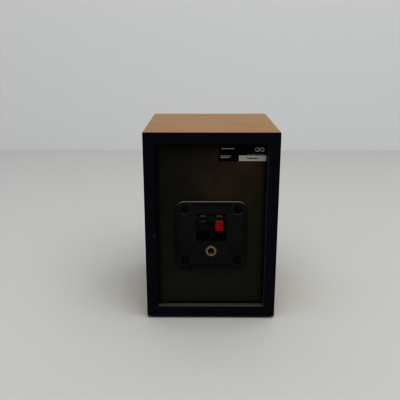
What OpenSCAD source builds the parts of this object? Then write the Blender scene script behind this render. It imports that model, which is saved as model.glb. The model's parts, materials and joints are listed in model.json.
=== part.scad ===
// Two-way bookshelf speaker, standing on its feet.
// The grille faces -Y and the terminals face +Y. The origin is on the shelf, at the middle of the footprint.

/* [Cabinet] */
// Width across the wrapped sides
cabinet_w = 120; // [118:0.5:124]
// Height of the wrapped box without its feet
cabinet_h = 175.5; // [174:0.5:184]
// Depth of the wrapped box without the grille
cabinet_d = 126.5; // [120:0.5:150]
// Thickness of the four box boards
board_t = 10; // [9:0.5:10.5]
// Thickness of the wood-pattern vinyl wrap
wrap_t = 0.3; // [0.2:0.05:0.4]
// Outer corner radius of the wrap
wrap_r = 0.6; // [0.4:0.1:0.7]
// Thickness of the front baffle
baffle_t = 10; // [9:0.5:10]
// Thickness of the rear panel
panel_t = 6; // [4:0.5:8]
// How far the rear panel lies inside the rear edges
recess_d = 6.5; // [6:0.5:9]
// Section of the square battens behind both panels
batten_s = 8; // [6:0.5:8]
// Height of the rubber feet
foot_h = 2; // [1.5:0.5:4]
// Radius of the rubber feet
foot_r = 5; // [4:0.5:7]
// Distance of each foot centre from the box edges
foot_inset = 12; // [9:0.5:20]

/* [Terminal plate] */
// Side length of the square plate
plate_w = 64.2; // [62:0.2:68]
// Height of the plate centre above the box underside
plate_up = 80.5; // [70:0.5:100]
// Thickness of the plate's face
plate_t = 2.2; // [2:0.1:3]
// Width of the raised rim
rim_w = 1.6; // [1.2:0.1:2.4]
// Height of the raised rim and screw seats above the face
rim_h = 1; // [0.6:0.1:1.4]
// Half the distance between neighbouring screws
screw_offset = 24.1; // [23:0.1:25]
// Thickness of the foam gasket under the plate
gasket_t = 0.6; // [0.4:0.1:1]
// Width of the window for the push terminals
window_w = 27.6; // [27:0.2:29]
// Height of the window for the push terminals
window_h = 25.9; // [25.5:0.1:27]
// Height of the window centre above the plate centre
window_up = 7.2; // [6.8:0.1:8]

/* [Push terminals] */
// Distance from each lever's middle to the plate's middle
lever_x = 7.5; // [7.4:0.1:8]
// Width of a lever
lever_w = 7.4; // [7:0.1:8.2]
// Radius of the round wire-entry holes
wire_hole_r = 2.2; // [1.5:0.1:2.2]
// Radius of the steel rod that both levers swing on
hinge_rod_r = 0.8; // [0.6:0.05:0.9]
// Radial clearance of the rod in the lever
hinge_gap = 0.05; // [0.02:0.01:0.1]

/* [Wall bracket insert] */
// Minor radius of the M5 thread
insert_bore_r = 2.1; // [2:0.05:2.2]
// Radius of the brass flange
insert_flange_r = 5.2; // [4.8:0.1:5.6]
// Distance of the insert below the plate centre
insert_down = 15.2; // [14.8:0.1:16]

/* [Woofer] */
// Height of the woofer centre above the box underside
woofer_up = 57.5; // [56:0.5:58]
// Radius of the basket flange
woofer_flange_r = 43; // [42:0.5:44]
// Radius of the circle of flange screws
woofer_screw_r = 40; // [39.8:0.1:40.4]

/* [Tweeter] */
// Height of the tweeter centre above the box underside
tweeter_up = 134; // [133:0.5:136]
// Radius of the tweeter faceplate
tweeter_r = 25; // [24:0.5:26]
// Radius of the circle of faceplate screws
tweeter_screw_r = 21.7; // [21.5:0.1:22]

/* [Grille] */
// Thickness of the grille with its cloth
grille_t = 9; // [8.9:0.1:12]
// How far the grille stays inside the box outline
grille_inset = 1.5; // [1:0.5:3]
// Width of the grille frame bars
grille_bar_w = 11; // [9:0.5:11]
// Thickness of the cloth sheet
cloth_t = 0.6; // [0.4:0.1:0.8]
// Distance of the pegs from the box's inner faces
peg_inset = 7.5; // [7:0.5:9]

/* [Hidden] */
$fn = 72;

// Main planes
rear_y = (cabinet_d + grille_t) / 2;
front_y = rear_y - cabinet_d;
box_z = foot_h + cabinet_h / 2;
wall_t = board_t + wrap_t;
inner_w = cabinet_w - 2 * wall_t;
inner_h = cabinet_h - 2 * wall_t;
floor_z = foot_h + wall_t;
ceiling_z = foot_h + cabinet_h - wall_t;
panel_y = rear_y - recess_d;
panel_inner_y = panel_y - panel_t;
fit_gap = 0.05;

// Rating label, in the corner beside the left and top inner faces, and the sticker on it
label_w = 43;
label_h = 14.3;
label_t = 0.15;
label_x = -inner_w / 2 + 0.6;
label_z = ceiling_z - 2.1 - label_h;
sticker_w = 24.5;
sticker_h = 5.3;
sticker_t = 0.1;
sticker_x = label_x + 0.6;
sticker_z = label_z + 0.2;

// Terminal plate, housing and insert
plate_z = foot_h + plate_up;
plate_back_y = panel_y + gasket_t;
plate_face_y = plate_back_y + plate_t;
plate_rim_y = plate_face_y + rim_h;
plate_corner_r = plate_w / 2 - screw_offset;
screw_seat_r = 7;
screw_seat_depth = 1.4;
screw_well_r = 4.2;
screw_head_r = 3.4;
screw_head_h = 1.5;
screw_slot_l = 3.8;
screw_shank_r = 1.5;
screw_shank_l = 11;
screw_clearance = 0.2;
gasket_inset = 1;
window_z = plate_z + window_up;
window_bottom_z = window_z - window_h / 2;
housing_wall = 1.5;
well_depth = 8;
housing_floor_t = 8;
well_floor_y = plate_back_y - well_depth;
housing_back_y = well_floor_y - housing_floor_t;
cutout_w = window_w + 2 * housing_wall + 1;
cutout_h = window_h + 2 * housing_wall + 1;
divider_t = 1.6;
divider_lip = 0.6;
wire_hole_z = window_bottom_z + 4.2;

// Levers: the pad's faces are measured from the hinge, outwards and up
hinge_y = plate_back_y - 1.35;
hinge_z = window_z + 9.1;
barrel_r = 2.2;
neck_out = 2.6;
pad_out = 3.5;
pad_in = 2.1;
pad_top = -3.3;
pad_bottom = -12.6;
dish_depth = 0.4;
dish_side = 1.1;
dish_margin = 1.5;
hood_w = 5.6;
hood_r = 3.2;
hood_gap = 0.2;
hood_bottom = -0.2;

// Lugs that carry the hinge rod, measured from the middle of the plate
lug_gap = 0.2;
lug_inner = lever_x - lever_w / 2 - lug_gap;
lug_outer = lever_x + lever_w / 2 + lug_gap;
lug_end = window_w / 2 - 0.8;
lug_root = window_w / 2 + 0.5;
lug_top_z = hinge_z + 2.2;
lug_bottom_z = hinge_z - 2.4;
lug_face_y = plate_face_y - 0.9;
rod_overhang = 0.7;

// Contact springs and solder tags
spring_w = 4;
leaf_t = 0.4;
tag_l = 8;
tag_w = 5;
tag_t = 0.6;
tag_z = window_z + 1;

// Wall bracket insert
insert_z = plate_z - insert_down;
insert_boss_r = 8.4;
insert_boss_h = 0.5;
insert_flange_t = 0.8;
insert_barrel_r = 3.6;
insert_end_y = panel_inner_y - 4.7;
insert_face_y = plate_face_y + insert_boss_h + insert_flange_t;
insert_chamfer = 0.7;
nut_t = 4;
nut_r = 6.2;

// Drivers: each profile is drawn as radius and depth behind the baffle's front face
woofer_z = foot_h + woofer_up;
tweeter_z = foot_h + tweeter_up;
woofer_cutout_r = 36;
tweeter_cutout_r = 19;
pilot_r = 1.25;
pilot_depth = 9;
driver_screw_slack = 0.15;
tinned_tag_t = 0.5;

// Woofer
woofer_flange_t = 1;
basket_mouth_r = 33.5;
basket_wall = 1;
basket_r = 35.5;
basket_back_r = 27;
basket_back_d = 20;
basket_hole_r = 12.5;
spider_seat_r = 23.8;
trim_ring_r = 37;
trim_ring_t = 1.8;
surround_t = 0.4;
surround_r = 30;
roll_r = 3;
cone_rim_r = 25.6;
cone_edge_r = 27.2;
cone_neck_r = 10.35;
cone_depth = 13;
cone_wall = 0.75;
cap_sphere_r = 14;
cap_r = 11.6;
cap_depth = 11.8;
spider_r = 21;
spider_depth = 16;
spider_wave = 0.7;
former_r = 10.25;
former_t = 0.25;
coil_r = 10.75;
coil_top = 18;
coil_end = 25;
gap_outer_r = 11.1;
pole_r = 9.6;
top_plate_r = 24;
top_plate_t = 3;
magnet_r = 27;
magnet_hole_r = 13.5;
magnet_t = 10;
yoke_r = 23;
yoke_t = 3.5;
tag_strip = [12, 10.6, 1.2];
tag_strip_low = -35;
strip_tag_x = 3.2;
strip_tag_w = 3;
strip_tag_l = 6;
woofer_screw_head = [2.4, 1.2];
woofer_slot_l = 2.8;

// Tweeter
tweeter_plate_t = 2.5;
horn_r = 14;
throat_r = 11.8;
throat_depth = 1.6;
housing_r = 18.5;
dome_sphere_r = 12;
dome_r = 9.5;
dome_t = 0.25;
dome_depth = 1.6;
tweeter_roll_r = 10.6;
tweeter_roll_h = 0.9;
tweeter_skin = 0.2;
tweeter_plate = [9.85, 15, 3, 5];
tweeter_ferrite = [11, 14.5, 5, 10];
tweeter_pole_r = 8.95;
tweeter_yoke_r = 13.5;
tweeter_tag_x = 6;
tweeter_tag_low = 16.25;
tweeter_screw_head = [2.2, 1.1];
tweeter_head_seat = 1.5;
tweeter_slot_l = 2.6;

// Grille
grille_w = cabinet_w - 2 * grille_inset;
grille_h = cabinet_h - 2 * grille_inset;
gusset_s = 24;
peg_x = inner_w / 2 - peg_inset;
peg_zs = [floor_z + peg_inset, ceiling_z - peg_inset];
peg_r = 2.92;
peg_l = 7.5;
socket_bore_r = 3;
socket_r = 4.9;
socket_flange_r = 6;

// Wire routes, as points chosen by hand along each lead, and the wire radii
wire_r = 0.8;
tinsel_r = 0.35;
woofer_lead_route = [
    [6.3, 37.5, 91], [6.3, 28, 90.6], [9, 12, 84], [6, -12, 92], [3.2, -25, 93], [3.2, -31.6, 91]
];
tweeter_black_route = [
    [8.9, 37.5, 91], [8.9, 27, 91.4], [4, 5, 95], [-4, -20, 108], [-6, -36, 118.5], [-6, -45.6, 119.5]
];
tweeter_red_route = [
    [-8.9, 37.5, 91], [-8.9, 30, 92], [4, 24, 100], [24, 25, 106], [40, 29, 105], [44.4, 25, 105],
    [44.4, 18.4, 105]
];
capacitor_tweeter_route = [
    [44.4, -14.4, 105], [44.2, -20, 105.6], [39, -28, 110], [26, -34, 116], [10, -38, 120],
    [6, -45.6, 119.5]
];
tinsel_route = [
    [1.6, -50.2, 77], [2.2, -47, 84], [3, -45, 90.5], [3.2, -41, 95.6], [3.2, -37, 95.6], [3.2, -34.5, 91.8]
];
capacitor_pos = [44.4, 2, 105];
capacitor_r = 5;
capacitor_l = 21;
capacitor_lead_r = 0.4;
capacitor_lead_l = 5.5;
glue_pad = [3.7, 12, 8];
wadding = [80, 22, 48];
wadding_bottom_z = 110;

wood_brown = [0.62, 0.45, 0.31];
paint_black = [0.05, 0.05, 0.06];
panel_black = [0.10, 0.085, 0.065];
plastic_black = [0.07, 0.07, 0.07];
steel = [0.62, 0.63, 0.65];
ferrite = [0.16, 0.16, 0.17];
brass = [0.80, 0.64, 0.32];

// ---------- Helpers ----------

// Rounded rectangle with true arcs, centred on the origin
module rounded_rect(w, h, r) {
    square([w - 2 * r, h], center = true);
    square([w, h - 2 * r], center = true);
    for (sx = [-1, 1], sz = [-1, 1]) {
        translate([sx * (w / 2 - r), sz * (h / 2 - r)])
            circle(r);
    }
}

// An outline drawn in X and Z, extruded from y0 to y1
module slab(y0, y1) {
    translate([0, y1, 0])
        rotate([90, 0, 0])
            linear_extrude(y1 - y0)
                children();
}

// An outline drawn in Y and Z, extruded from x0 to x1
module side_slab(x0, x1) {
    translate([x0, 0, 0])
        rotate([90, 0, 90])
            linear_extrude(x1 - x0)
                children();
}

// A round bar along Y from y0 to y1, centred on x and z
module rod_y(r, y0, y1, x = 0, z = 0) {
    translate([x, y0, z])
        rotate([-90, 0, 0])
            cylinder(r = r, h = y1 - y0);
}

// A cone along Y from radius r0 at y0 to r1 at y1
module cone_y(r0, r1, y0, y1, x = 0, z = 0) {
    translate([x, y0, z])
        rotate([-90, 0, 0])
            cylinder(r1 = r0, r2 = r1, h = y1 - y0);
}

// Puts driver geometry, whose own Z is the depth behind the baffle face, at height z on the baffle
module on_baffle(z) {
    translate([0, front_y, z])
        rotate([-90, 0, 0])
            children();
}

// A ring profile: radius r0 to r1, depth d0 to d1
module ring_profile(r0, r1, d0, d1) {
    translate([r0, d0])
        square([r1 - r0, d1 - d0]);
}

// The section of a half roll that bulges forwards from depth d
module half_roll(r_mid, roll_r, t, d) {
    intersection() {
        translate([r_mid, d])
            difference() {
                circle(roll_r);
                circle(roll_r - t);
            }
        ring_profile(r_mid - roll_r, r_mid + roll_r, d - roll_r, d);
    }
}

// The section of a domed cap of outer radius sphere_r whose rim has radius rim at depth d
module dome_profile(sphere_r, t, rim, d) {
    rise = sqrt(sphere_r * sphere_r - rim * rim);
    intersection() {
        translate([0, d + rise])
            difference() {
                circle(sphere_r);
                circle(sphere_r - t);
            }
        ring_profile(0, rim + 1, d - sphere_r, d);
    }
}

// Catmull-Rom interpolation between points 1 and 2 of four neighbours
function spline_point(p0, p1, p2, p3, t) =
    0.5 * (2 * p1 + (p2 - p0) * t + (2 * p0 - 5 * p1 + 4 * p2 - p3) * t * t
        + (3 * p1 - p0 - 3 * p2 + p3) * t * t * t);

// A smooth line through hand-set points, with n steps in each span
function smooth_route(p, n) = concat(
    [for (i = [0 : len(p) - 2], k = [0 : n - 1])
        spline_point(p[max(i - 1, 0)], p[i], p[i + 1], p[min(i + 2, len(p) - 1)], k / n)],
    [p[len(p) - 1]]
);

function unit(v) = v / norm(v);

function tangent(p, i) = unit(p[min(i + 1, len(p) - 1)] - p[max(i - 1, 0)]);

// One polyhedron swept along a route: the side direction leans on Z, which no wire here follows
module swept_wire(route, r, steps = 4, sides = 8) {
    path = smooth_route(route, steps);
    rings = len(path);
    points = [
        for (i = [0 : rings - 1], k = [0 : sides - 1])
            let (
                t = tangent(path, i),
                u = unit(cross(t, [0, 0, 1])),
                v = cross(u, t),
                a = 360 * k / sides
            )
            path[i] + r * (cos(a) * u + sin(a) * v)
    ];
    walls = [
        for (i = [0 : rings - 2], k = [0 : sides - 1])
            [
                i * sides + k,
                i * sides + (k + 1) % sides,
                (i + 1) * sides + (k + 1) % sides,
                (i + 1) * sides + k
            ]
    ];
    start_cap = [[for (k = [sides - 1 : -1 : 0]) k]];
    end_cap = [[for (k = [0 : sides - 1]) (rings - 1) * sides + k]];
    polyhedron(points, concat(walls, start_cap, end_cap), convexity = 4);
}

// A cross-head screw along Y: the head's underside is at seat_y, and the shank runs to side -1 or 1
module screw_y(x, z, seat_y, side, head_r, head_h, shank_r, shank_l, slot_l) {
    translate([x, seat_y, z])
        rotate([side > 0 ? -90 : 90, 0, 0]) {
            difference() {
                translate([0, 0, -head_h])
                    cylinder(r = head_r, h = head_h);
                for (a = [0, 90]) {
                    rotate([0, 0, a])
                        translate([-slot_l / 2, -0.35, -head_h - 1])
                            cube([slot_l, 0.7, 1 + head_h * 0.7]);
                }
            }
            cylinder(r = shank_r, h = shank_l - 2);
            translate([0, 0, shank_l - 2])
                cylinder(r1 = shank_r, r2 = 0.2, h = 2);
        }
}

// ---------- Cabinet ----------

// The outline of a mitred board: outer and inner length, lying along X with its outer side up
module mitred_board(outer, inner) {
    polygon([
        [-outer / 2, 0],
        [outer / 2, 0],
        [inner / 2, -board_t],
        [-inner / 2, -board_t]
    ]);
}

module top_board() {
    color(paint_black)
        slab(front_y, rear_y)
            translate([0, box_z + cabinet_h / 2 - wrap_t])
                mitred_board(cabinet_w - 2 * wrap_t, inner_w);
}

module bottom_board() {
    color(paint_black)
        slab(front_y, rear_y)
            translate([0, foot_h + wrap_t])
                rotate(180)
                    mitred_board(cabinet_w - 2 * wrap_t, inner_w);
}

module side_board(side) {
    color(paint_black)
        slab(front_y, rear_y)
            translate([side * (cabinet_w / 2 - wrap_t), box_z])
                rotate(-90 * side)
                    mitred_board(cabinet_h - 2 * wrap_t, inner_h);
}

module left_side_board() {
    side_board(-1);
}

module right_side_board() {
    side_board(1);
}

module veneer_wrap() {
    color(wood_brown)
        slab(front_y, rear_y)
            translate([0, box_z])
                difference() {
                    rounded_rect(cabinet_w, cabinet_h, wrap_r);
                    square([cabinet_w - 2 * wrap_t, cabinet_h - 2 * wrap_t], center = true);
                }
}

module front_baffle() {
    color(paint_black)
        difference() {
            slab(front_y, front_y + baffle_t)
                translate([0, box_z])
                    square([inner_w, inner_h], center = true);
            rod_y(woofer_cutout_r, front_y - 1, front_y + baffle_t + 1, 0, woofer_z);
            rod_y(tweeter_cutout_r, front_y - 1, front_y + baffle_t + 1, 0, tweeter_z);
            for (x = [-peg_x, peg_x], z = peg_zs) {
                rod_y(socket_r + fit_gap, front_y - 1, front_y + baffle_t + 1, x, z);
                rod_y(socket_flange_r + fit_gap, front_y - 1, front_y + 1, x, z);
            }
            for (a = [45 : 90 : 315]) {
                rod_y(
                    pilot_r + fit_gap, front_y - 1, front_y + pilot_depth,
                    woofer_screw_r * cos(a), woofer_z + woofer_screw_r * sin(a)
                );
                rod_y(
                    pilot_r + fit_gap, front_y - 1, front_y + pilot_depth,
                    tweeter_screw_r * cos(a), tweeter_z + tweeter_screw_r * sin(a)
                );
            }
        }
}

module screw_places() {
    for (x = [-screw_offset, screw_offset], z = [plate_z - screw_offset, plate_z + screw_offset]) {
        translate([x, 0, z])
            children();
    }
}

module rear_panel() {
    color(panel_black)
        difference() {
            slab(panel_inner_y, panel_y)
                translate([0, box_z])
                    square([inner_w, inner_h], center = true);
            slab(panel_inner_y - 1, panel_y + 1)
                translate([0, window_z])
                    square([cutout_w, cutout_h], center = true);
            rod_y(insert_barrel_r + fit_gap, panel_inner_y - 1, panel_y + 1, 0, insert_z);
            screw_places()
                rod_y(screw_shank_r + fit_gap, panel_inner_y - 1, panel_y + 1);
        }
}

// A frame of four separate battens, from y0 to y0 + batten_s
module batten_frame(y0) {
    slab(y0, y0 + batten_s) {
        for (z = [floor_z, ceiling_z - batten_s]) {
            translate([-inner_w / 2, z])
                square([inner_w, batten_s]);
        }
        for (x = [-inner_w / 2, inner_w / 2 - batten_s]) {
            translate([x, floor_z + batten_s])
                square([batten_s, inner_h - 2 * batten_s]);
        }
    }
}

module front_battens() {
    color("burlywood")
        batten_frame(front_y + baffle_t);
}

module rear_battens() {
    color("burlywood")
        batten_frame(panel_inner_y - batten_s);
}

module rubber_feet() {
    color([0.12, 0.12, 0.12])
        for (x = [-1, 1], y = [front_y + foot_inset, rear_y - foot_inset]) {
            translate([x * (cabinet_w / 2 - foot_inset), y, 0])
                cylinder(r = foot_r, h = foot_h);
        }
}

module rating_label() {
    color([0.05, 0.05, 0.05])
        slab(panel_y, panel_y + label_t)
            translate([label_x, label_z])
                square([label_w, label_h]);
}

module serial_sticker() {
    color("white")
        slab(panel_y + label_t, panel_y + label_t + sticker_t)
            translate([sticker_x, sticker_z])
                square([sticker_w, sticker_h]);
}

// ---------- Terminal plate ----------

module plate_outline(inset) {
    translate([0, plate_z])
        rounded_rect(plate_w - 2 * inset, plate_w - 2 * inset, plate_corner_r - inset);
}

module terminal_plate() {
    color(plastic_black)
        difference() {
            union() {
                slab(plate_back_y, plate_face_y)
                    plate_outline(0);
                slab(plate_face_y, plate_rim_y)
                    difference() {
                        plate_outline(0);
                        plate_outline(rim_w);
                    }
                screw_places()
                    rod_y(screw_seat_r, plate_face_y - 1, plate_rim_y);
                rod_y(insert_boss_r, plate_face_y - 1, plate_face_y + insert_boss_h, 0, insert_z);
            }
            slab(plate_back_y - 1, plate_rim_y + 1)
                translate([0, window_z])
                    square([window_w, window_h], center = true);
            rod_y(insert_barrel_r + fit_gap, plate_back_y - 1, plate_rim_y, 0, insert_z);
            screw_places() {
                rod_y(screw_shank_r + screw_clearance, plate_back_y - 1, plate_rim_y + 1);
                rod_y(screw_well_r, plate_rim_y - screw_seat_depth, plate_rim_y + 1);
            }
        }
}

module terminal_gasket() {
    color([0.14, 0.14, 0.14])
        difference() {
            slab(panel_y, plate_back_y)
                plate_outline(gasket_inset);
            slab(panel_y - 1, plate_back_y + 1)
                translate([0, window_z])
                    square([cutout_w, cutout_h], center = true);
            rod_y(insert_barrel_r + fit_gap, panel_y - 1, plate_back_y + 1, 0, insert_z);
            screw_places()
                rod_y(screw_shank_r + screw_clearance, panel_y - 1, plate_back_y + 1);
        }
}

module terminal_plate_screws() {
    color(ferrite)
        screw_places()
            screw_y(
                0, 0, plate_rim_y - screw_seat_depth, -1,
                screw_head_r, screw_head_h, screw_shank_r, screw_shank_l, screw_slot_l
            );
}

// A lug of the housing from x0 to x1, up to the plane y1
module lug(x0, x1, y1) {
    slab(well_floor_y - 1, y1)
        translate([min(x0, x1), lug_bottom_z])
            square([abs(x1 - x0), lug_top_z - lug_bottom_z]);
}

// A half-round hood in front of a lever's barrel, hung from the top of the well
module barrel_hood(x) {
    side_slab(x - hood_w / 2, x + hood_w / 2)
        translate([hinge_y, hinge_z])
            difference() {
                union() {
                    circle(hood_r);
                    square([plate_back_y - hinge_y, window_z + window_h / 2 + 0.2 - hinge_z]);
                }
                circle(barrel_r + hood_gap);
                translate([-2 * hood_r, -2 * hood_r])
                    square([2 * hood_r, 4 * hood_r]);
                translate([-hood_r, -2 * hood_r])
                    square([3 * hood_r, 2 * hood_r + hood_bottom]);
            }
}

module terminal_housing() {
    color(plastic_black)
        difference() {
            union() {
                difference() {
                    slab(housing_back_y, plate_back_y)
                        translate([0, window_z])
                            square([window_w + 2 * housing_wall, window_h + 2 * housing_wall], center = true);
                    slab(well_floor_y, plate_back_y + 1)
                        translate([0, window_z])
                            square([window_w, window_h], center = true);
                }
                lug(-lug_inner, lug_inner, lug_face_y);
                for (side = [-1, 1]) {
                    lug(side * lug_outer, side * lug_end, lug_face_y);
                    lug(side * lug_outer, side * lug_root, plate_back_y - 2);
                }
                slab(well_floor_y - 1, plate_back_y - divider_lip)
                    translate([-divider_t / 2, window_bottom_z - 0.5])
                        square([divider_t, window_h / 2]);
                barrel_hood(-lever_x);
                barrel_hood(lever_x);
            }
            for (x = [-lever_x, lever_x]) {
                rod_y(wire_hole_r, housing_back_y - 1, well_floor_y + 1, x, wire_hole_z);
            }
            translate([-window_w / 2 - rod_overhang - 0.1, hinge_y, hinge_z])
                rotate([0, 90, 0])
                    cylinder(r = hinge_rod_r + 0.02, h = window_w + 2 * rod_overhang + 0.2);
        }
}

module lever_hinge_rod() {
    color(steel)
        translate([-window_w / 2 - rod_overhang, hinge_y, hinge_z])
            rotate([0, 90, 0])
                cylinder(r = hinge_rod_r, h = window_w + 2 * rod_overhang);
}

// The thumb pad hangs below and outside the barrel, joined to it by a short neck
module lever(x) {
    translate([0, hinge_y, hinge_z])
        difference() {
            side_slab(x - lever_w / 2, x + lever_w / 2) {
                circle(barrel_r);
                polygon([
                    [0.6, -1.2],
                    [2.1, -0.5],
                    [neck_out, pad_top + 0.6],
                    [pad_out - 0.7, pad_top],
                    [pad_out, pad_top - 0.7],
                    [pad_out, pad_bottom + 0.8],
                    [pad_out - 0.8, pad_bottom],
                    [pad_in, pad_bottom],
                    [pad_in, pad_top]
                ]);
            }
            side_slab(x - lever_w / 2 - 1, x + lever_w / 2 + 1)
                circle(hinge_rod_r + hinge_gap);
            side_slab(x - lever_w / 2 + dish_side, x + lever_w / 2 - dish_side)
                translate([pad_out - dish_depth, pad_bottom + dish_margin])
                    square([1, pad_top - pad_bottom - 2 * dish_margin]);
        }
}

module red_lever() {
    color([0.75, 0.04, 0.06])
        lever(-lever_x);
}

module black_lever() {
    color(plastic_black)
        lever(lever_x);
}

// A folded brass leaf: one leg on the well floor, the other leaning on the back of the lever pad
module contact_spring(x) {
    foot_z = wire_hole_z + wire_hole_r + 1.4;
    fold_z = hinge_z - 2.8;
    tip_y = hinge_y + pad_in - 0.15;
    tip_z = hinge_z - 10.4;
    color(brass)
        side_slab(x - spring_w / 2, x + spring_w / 2)
            polygon([
                [well_floor_y, foot_z],
                [well_floor_y, fold_z],
                [well_floor_y + 0.7, fold_z],
                [tip_y, tip_z + 0.3],
                [tip_y - 0.3, tip_z],
                [well_floor_y + leaf_t + 0.1, fold_z - 0.6],
                [well_floor_y + leaf_t, fold_z - 0.8],
                [well_floor_y + leaf_t, foot_z]
            ]);
}

module red_contact_spring() {
    contact_spring(-lever_x);
}

module black_contact_spring() {
    contact_spring(lever_x);
}

module terminal_tags() {
    color(brass)
        for (x = [-lever_x, lever_x]) {
            translate([x - tag_w / 2, housing_back_y - tag_l, tag_z])
                cube([tag_w, tag_l, tag_t]);
        }
}

module wall_bracket_insert() {
    color(brass)
        difference() {
            union() {
                rod_y(insert_barrel_r, insert_end_y, insert_face_y - insert_flange_t, 0, insert_z);
                rod_y(insert_flange_r, insert_face_y - insert_flange_t, insert_face_y, 0, insert_z);
            }
            rod_y(insert_bore_r, insert_end_y - 1, insert_face_y + 1, 0, insert_z);
            cone_y(
                insert_bore_r, insert_bore_r + insert_chamfer + 0.1,
                insert_face_y - insert_chamfer, insert_face_y + 0.1, 0, insert_z
            );
        }
}

module insert_nut() {
    color(steel)
        difference() {
            translate([0, panel_inner_y - nut_t, insert_z])
                rotate([-90, 0, 0])
                    cylinder(r = nut_r, h = nut_t, $fn = 6);
            rod_y(insert_barrel_r + fit_gap, panel_inner_y - nut_t - 1, panel_inner_y + 1, 0, insert_z);
        }
}

// ---------- Woofer ----------

// A flange, a drum, a sloping part with four windows, and a small step that carries the spider
module woofer_basket() {
    inner_r = basket_back_r - basket_wall;
    step_d = spider_depth + 0.5;
    color(steel)
        on_baffle(woofer_z)
            difference() {
                rotate_extrude()
                    polygon([
                        [basket_mouth_r, -woofer_flange_t],
                        [woofer_flange_r, -woofer_flange_t],
                        [woofer_flange_r, 0],
                        [basket_r, 0],
                        [basket_r, 8],
                        [basket_back_r, 15],
                        [basket_back_r, basket_back_d],
                        [basket_hole_r, basket_back_d],
                        [basket_hole_r, basket_back_d - basket_wall],
                        [inner_r, basket_back_d - basket_wall],
                        [inner_r, step_d + 0.8],
                        [spider_seat_r, step_d + 0.8],
                        [spider_seat_r, step_d],
                        [inner_r, step_d],
                        [inner_r, 14.6],
                        [basket_r - basket_wall, 7.6],
                        [basket_r - basket_wall, 0],
                        [basket_mouth_r, 0]
                    ]);
                for (a = [0 : 90 : 270]) {
                    rotate([0, 0, a])
                        translate([inner_r - 1, -9, 8.8])
                            cube([12, 18, 5.4]);
                    rotate([0, 0, a + 45])
                        translate([woofer_screw_r, 0, -2])
                            cylinder(r = pilot_r + driver_screw_slack, h = 3);
                }
            }
}

module woofer_gasket() {
    color([0.08, 0.08, 0.08])
        on_baffle(woofer_z)
            rotate_extrude()
                ring_profile(
                    basket_mouth_r, trim_ring_r,
                    -woofer_flange_t - surround_t - trim_ring_t, -woofer_flange_t - surround_t
                );
}

module woofer_surround() {
    color([0.09, 0.09, 0.09])
        on_baffle(woofer_z)
            rotate_extrude() {
                half_roll(surround_r, roll_r, surround_t, -woofer_flange_t);
                ring_profile(
                    surround_r + roll_r - surround_t, trim_ring_r,
                    -woofer_flange_t - surround_t, -woofer_flange_t
                );
                ring_profile(
                    cone_rim_r, surround_r - roll_r + surround_t,
                    -woofer_flange_t - surround_t, -woofer_flange_t
                );
            }
}

module woofer_cone() {
    color([0.13, 0.13, 0.13])
        on_baffle(woofer_z)
            rotate_extrude()
                polygon([
                    [cone_neck_r, cone_depth],
                    [cone_rim_r, -woofer_flange_t],
                    [cone_edge_r, -woofer_flange_t],
                    [cone_edge_r, -woofer_flange_t + cone_wall],
                    [cone_rim_r, -woofer_flange_t + cone_wall],
                    [cone_neck_r, cone_depth + cone_wall]
                ]);
}

module woofer_dust_cap() {
    color([0.10, 0.10, 0.10])
        on_baffle(woofer_z)
            rotate_extrude()
                dome_profile(cap_sphere_r, 0.4, cap_r, cap_depth);
}

module woofer_spider() {
    waves = 3;
    steps = 8 * waves;
    cloth = 0.4;
    inner = former_r + fit_gap;
    function wave(i, d) = [
        inner + (spider_r - inner) * i / steps,
        d + spider_wave * sin(360 * waves * i / steps)
    ];
    color("goldenrod")
        on_baffle(woofer_z)
            rotate_extrude() {
                polygon(concat(
                    [for (i = [0 : steps]) wave(i, spider_depth)],
                    [for (i = [steps : -1 : 0]) wave(i, spider_depth + cloth)]
                ));
                ring_profile(
                    spider_r - 0.1, basket_back_r - basket_wall - 0.2,
                    spider_depth, spider_depth + cloth
                );
            }
}

module voice_coil_former() {
    color("silver")
        on_baffle(woofer_z)
            rotate_extrude()
                ring_profile(former_r - former_t, former_r, cap_depth + 0.4, coil_end + 1);
}

module voice_coil() {
    color([0.72, 0.40, 0.22])
        on_baffle(woofer_z)
            rotate_extrude()
                ring_profile(former_r + 0.02, coil_r, coil_top, coil_end);
}

module woofer_top_plate() {
    color(steel)
        on_baffle(woofer_z)
            rotate_extrude()
                ring_profile(gap_outer_r, top_plate_r, basket_back_d, basket_back_d + top_plate_t);
}

module woofer_magnet() {
    color(ferrite)
        on_baffle(woofer_z)
            rotate_extrude()
                ring_profile(
                    magnet_hole_r, magnet_r,
                    basket_back_d + top_plate_t, basket_back_d + top_plate_t + magnet_t
                );
}

module woofer_pole_yoke() {
    yoke_d = basket_back_d + top_plate_t + magnet_t;
    color(steel)
        on_baffle(woofer_z)
            rotate_extrude() {
                ring_profile(0, pole_r, basket_back_d, yoke_d + 1);
                ring_profile(0, yoke_r, yoke_d, yoke_d + yoke_t);
            }
}

module woofer_tag_strip() {
    color([0.55, 0.36, 0.18])
        on_baffle(woofer_z) {
            translate([-tag_strip.x / 2, tag_strip_low, basket_back_d])
                cube(tag_strip);
            for (x = [-strip_tag_x, strip_tag_x]) {
                translate([x - strip_tag_w / 2, tag_strip_low + 3.25, basket_back_d + 1])
                    cube([strip_tag_w, tinned_tag_t, strip_tag_l]);
            }
        }
}

module woofer_tinsel_leads() {
    color([0.72, 0.40, 0.22])
        for (side = [-1, 1]) {
            swept_wire([for (p = tinsel_route) [side * p.x, p.y, p.z]], tinsel_r, 3);
        }
}

module woofer_screws() {
    color(ferrite)
        for (a = [45 : 90 : 315]) {
            screw_y(
                woofer_screw_r * cos(a), woofer_z + woofer_screw_r * sin(a),
                front_y - woofer_flange_t, 1,
                woofer_screw_head[0], woofer_screw_head[1], pilot_r, pilot_depth, woofer_slot_l
            );
        }
}

// ---------- Tweeter ----------

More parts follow.
